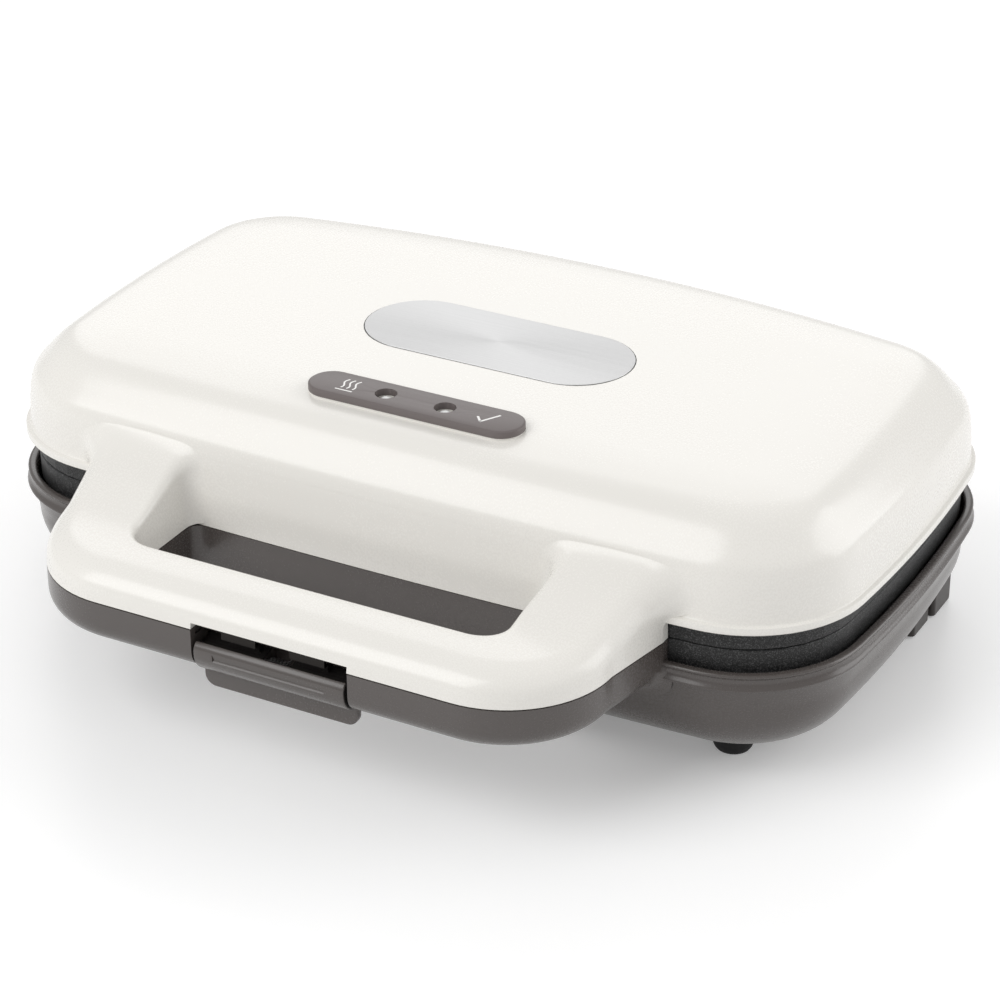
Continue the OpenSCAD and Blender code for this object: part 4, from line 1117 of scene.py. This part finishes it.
topStrip = makeStrip(topFittings, lidShape)
smoothBy(topStrip, 30)
dress(topStrip, "topStrip", look["stripTaupe"], "lid", ("indicator_strip",))
heatMark = makeHeatMark(topFittings)
dress(heatMark, "heatMark", look["printWhite"], "lid", ("indicator_strip",))
readyTick = makeTick(topFittings)
dress(readyTick, "readyTick", look["printWhite"], "lid", ("indicator_strip",))
badge = makeBadge(topFittings, lidShape)
smoothBy(badge, 30)
dress(badge, "badge", look["badgeSteel"], "lid", ("badge_plate",))
# painted shade ring in the gap round the badge
badgeGapShade = makeGroove(topFittings, lidShape)
dress(badgeGapShade, "badgeGapShade", look["paintedGapShade"], "lid", ("lid_shell",))
for side, sideName in ((-1, "Left"), (1, "Right")):
    lens = makeLens(topFittings, lidShape, side)
    smoothBy(lens, 40)
    dress(lens, "lampLens" + sideName, look["lens"], "lid", ("lamp_lenses",))
print("strip, marks, lenses and badge modelled")


finish = {  # which look each piece of the frame wears
    "nonStick": "lower_plate upper_plate",
    "elementSteel": "lower_element upper_element",
    "plainSteel": "lower_element_clamps upper_element_clamps lower_plate_screws "
                  "upper_plate_screws front_foot_screws hinge_screws hinge_pins lid_arm_screws "
                  "latch_pin latch_spring",
    "trayMetal": "lower_reflector upper_reflector",
    "rubber": "front_feet rear_foot_pads",
    "footTaupe": "rear_feet",
    "baseTaupe": "cord_gland hinge_brackets latch_clip base_shell base_grip_cover",
    "ceramic": "terminal_block thermal_fuse thermostat lamp_holder",
    "wireSleeve": "base_leads lid_leads",
    "lidWhite": "lid_hinge_arms lid_shell lid_grip_cover",
    # striker wears painted shade, near black, to darken the notch
    "paintedShadeSteel": "striker",
    "badgeSteel": "badge_plate",
    "stripTaupe": "indicator_strip",
    "lens": "lamp_lenses",
    "lampGlass": "lamps",
}
for lookName, nodeNames in finish.items():
    for nodeName in nodeNames.split():
        node = nodes[nodeName]
        node.data.materials.clear()
        node.data.materials.append(look[lookName])
print("CAD pieces finished")


studio = {
    "floorTone": 0.86,
    "floorLift": 0.22,
    "worldTone": 0.60,
    "key": ((-0.62, -1.10, 1.15), 1.2, 1.2, 12.5),  # place, width, height, power
    "side": ((1.15, 0.75, 0.6), 1.0, 1.0, 7.5),
    "backdrop": ((-0.66, 1.24, 0.8), 1.2, 0.9, 3.8),
}


def makeFloor(values):
    deselectAll()
    bpy.ops.mesh.primitive_plane_add(size=8, location=(0, 0, 0))
    floor = bpy.context.object
    floor.name = "floor"
    material = bpy.data.materials.new("floorWhite")
    material.use_nodes = True
    tree = material.node_tree
    tree.nodes.clear()
    out = tree.nodes.new("ShaderNodeOutputMaterial")
    plain = tree.nodes.new("ShaderNodeBsdfPrincipled")
    tone = values["floorTone"]
    plain.inputs["Base Color"].default_value = (tone, tone, tone, 1)
    plain.inputs["Roughness"].default_value = 0.35
    plain.inputs["Specular IOR Level"].default_value = 0.25
    glow = tree.nodes.new("ShaderNodeEmission")
    path = tree.nodes.new("ShaderNodeLightPath")
    seen = path.outputs["Is Camera Ray"]
    for kind in ("Is Glossy Ray", "Is Transmission Ray"):
        seen = mathNode(tree, "ADD", seen, path.outputs[kind], clamp=True)
    tree.links.new(mathNode(tree, "MULTIPLY", seen, values["floorLift"]), glow.inputs["Strength"])
    both = tree.nodes.new("ShaderNodeAddShader")
    tree.links.new(plain.outputs[0], both.inputs[0])
    tree.links.new(glow.outputs[0], both.inputs[1])
    tree.links.new(both.outputs[0], out.inputs["Surface"])
    floor.data.materials.append(material)


def makeWorld(values):
    world = bpy.data.worlds.new("studio")
    bpy.context.scene.world = world
    world.use_nodes = True
    tree = world.node_tree
    tree.nodes.clear()
    out = tree.nodes.new("ShaderNodeOutputWorld")
    back = tree.nodes.new("ShaderNodeBackground")
    path = tree.nodes.new("ShaderNodeLightPath")
    rays = path.outputs
    seen = mathNode(tree, "ADD", rays["Is Camera Ray"], rays["Is Transmission Ray"], clamp=True)
    tone = values["worldTone"]
    lift = mathNode(tree, "MULTIPLY", seen, 1.0 - tone)
    strength = mathNode(tree, "ADD", lift, tone)
    tree.links.new(strength, back.inputs["Strength"])
    back.inputs["Color"].default_value = (1, 1, 1, 1)
    tree.links.new(back.outputs[0], out.inputs["Surface"])


def makeLamp(name, values):
    spot, wide, high, power = values
    deselectAll()
    bpy.ops.object.light_add(type="AREA", location=spot)
    lamp = bpy.context.object
    lamp.name = name
    lamp.data.shape = "RECTANGLE"
    lamp.data.size = wide
    lamp.data.size_y = high
    lamp.data.energy = power
    aim = Vector((0, 0, 0.05)) - Vector(spot)
    lamp.rotation_mode = "QUATERNION"
    lamp.rotation_quaternion = aim.to_track_quat("-Z", "Y")


view = {
    "azimuth": 28.04,
    "elevation": 27.995,
    "distance": 1.02336,
    "target": (1.76, 23.15, 35.07),  # in millimetres
    "lens": 109.8,
    "sensor": 36,
}


def makeCamera(values):
    azimuth, elevation = math.radians(values["azimuth"]), math.radians(values["elevation"])
    target = Vector([v * mm for v in values["target"]])
    back = Vector((math.sin(azimuth) * math.cos(elevation),
                   -math.cos(azimuth) * math.cos(elevation), math.sin(elevation)))
    deselectAll()
    bpy.ops.object.camera_add(location=target + back * values["distance"])
    camera = bpy.context.object
    camera.data.sensor_width = values["sensor"]
    camera.data.lens = values["lens"]
    camera.data.clip_start, camera.data.clip_end = 0.05, 50
    camera.rotation_mode = "QUATERNION"
    camera.rotation_quaternion = (-back).to_track_quat("-Z", "Y")
    bpy.context.scene.camera = camera


makeFloor(studio)
makeWorld(studio)
makeLamp("keyLamp", studio["key"])
makeLamp("sideLamp", studio["side"])
makeLamp("backdropLamp", studio["backdrop"])
makeCamera(view)
bpy.context.scene.view_settings.view_transform = "Standard"
print("studio and camera ready")
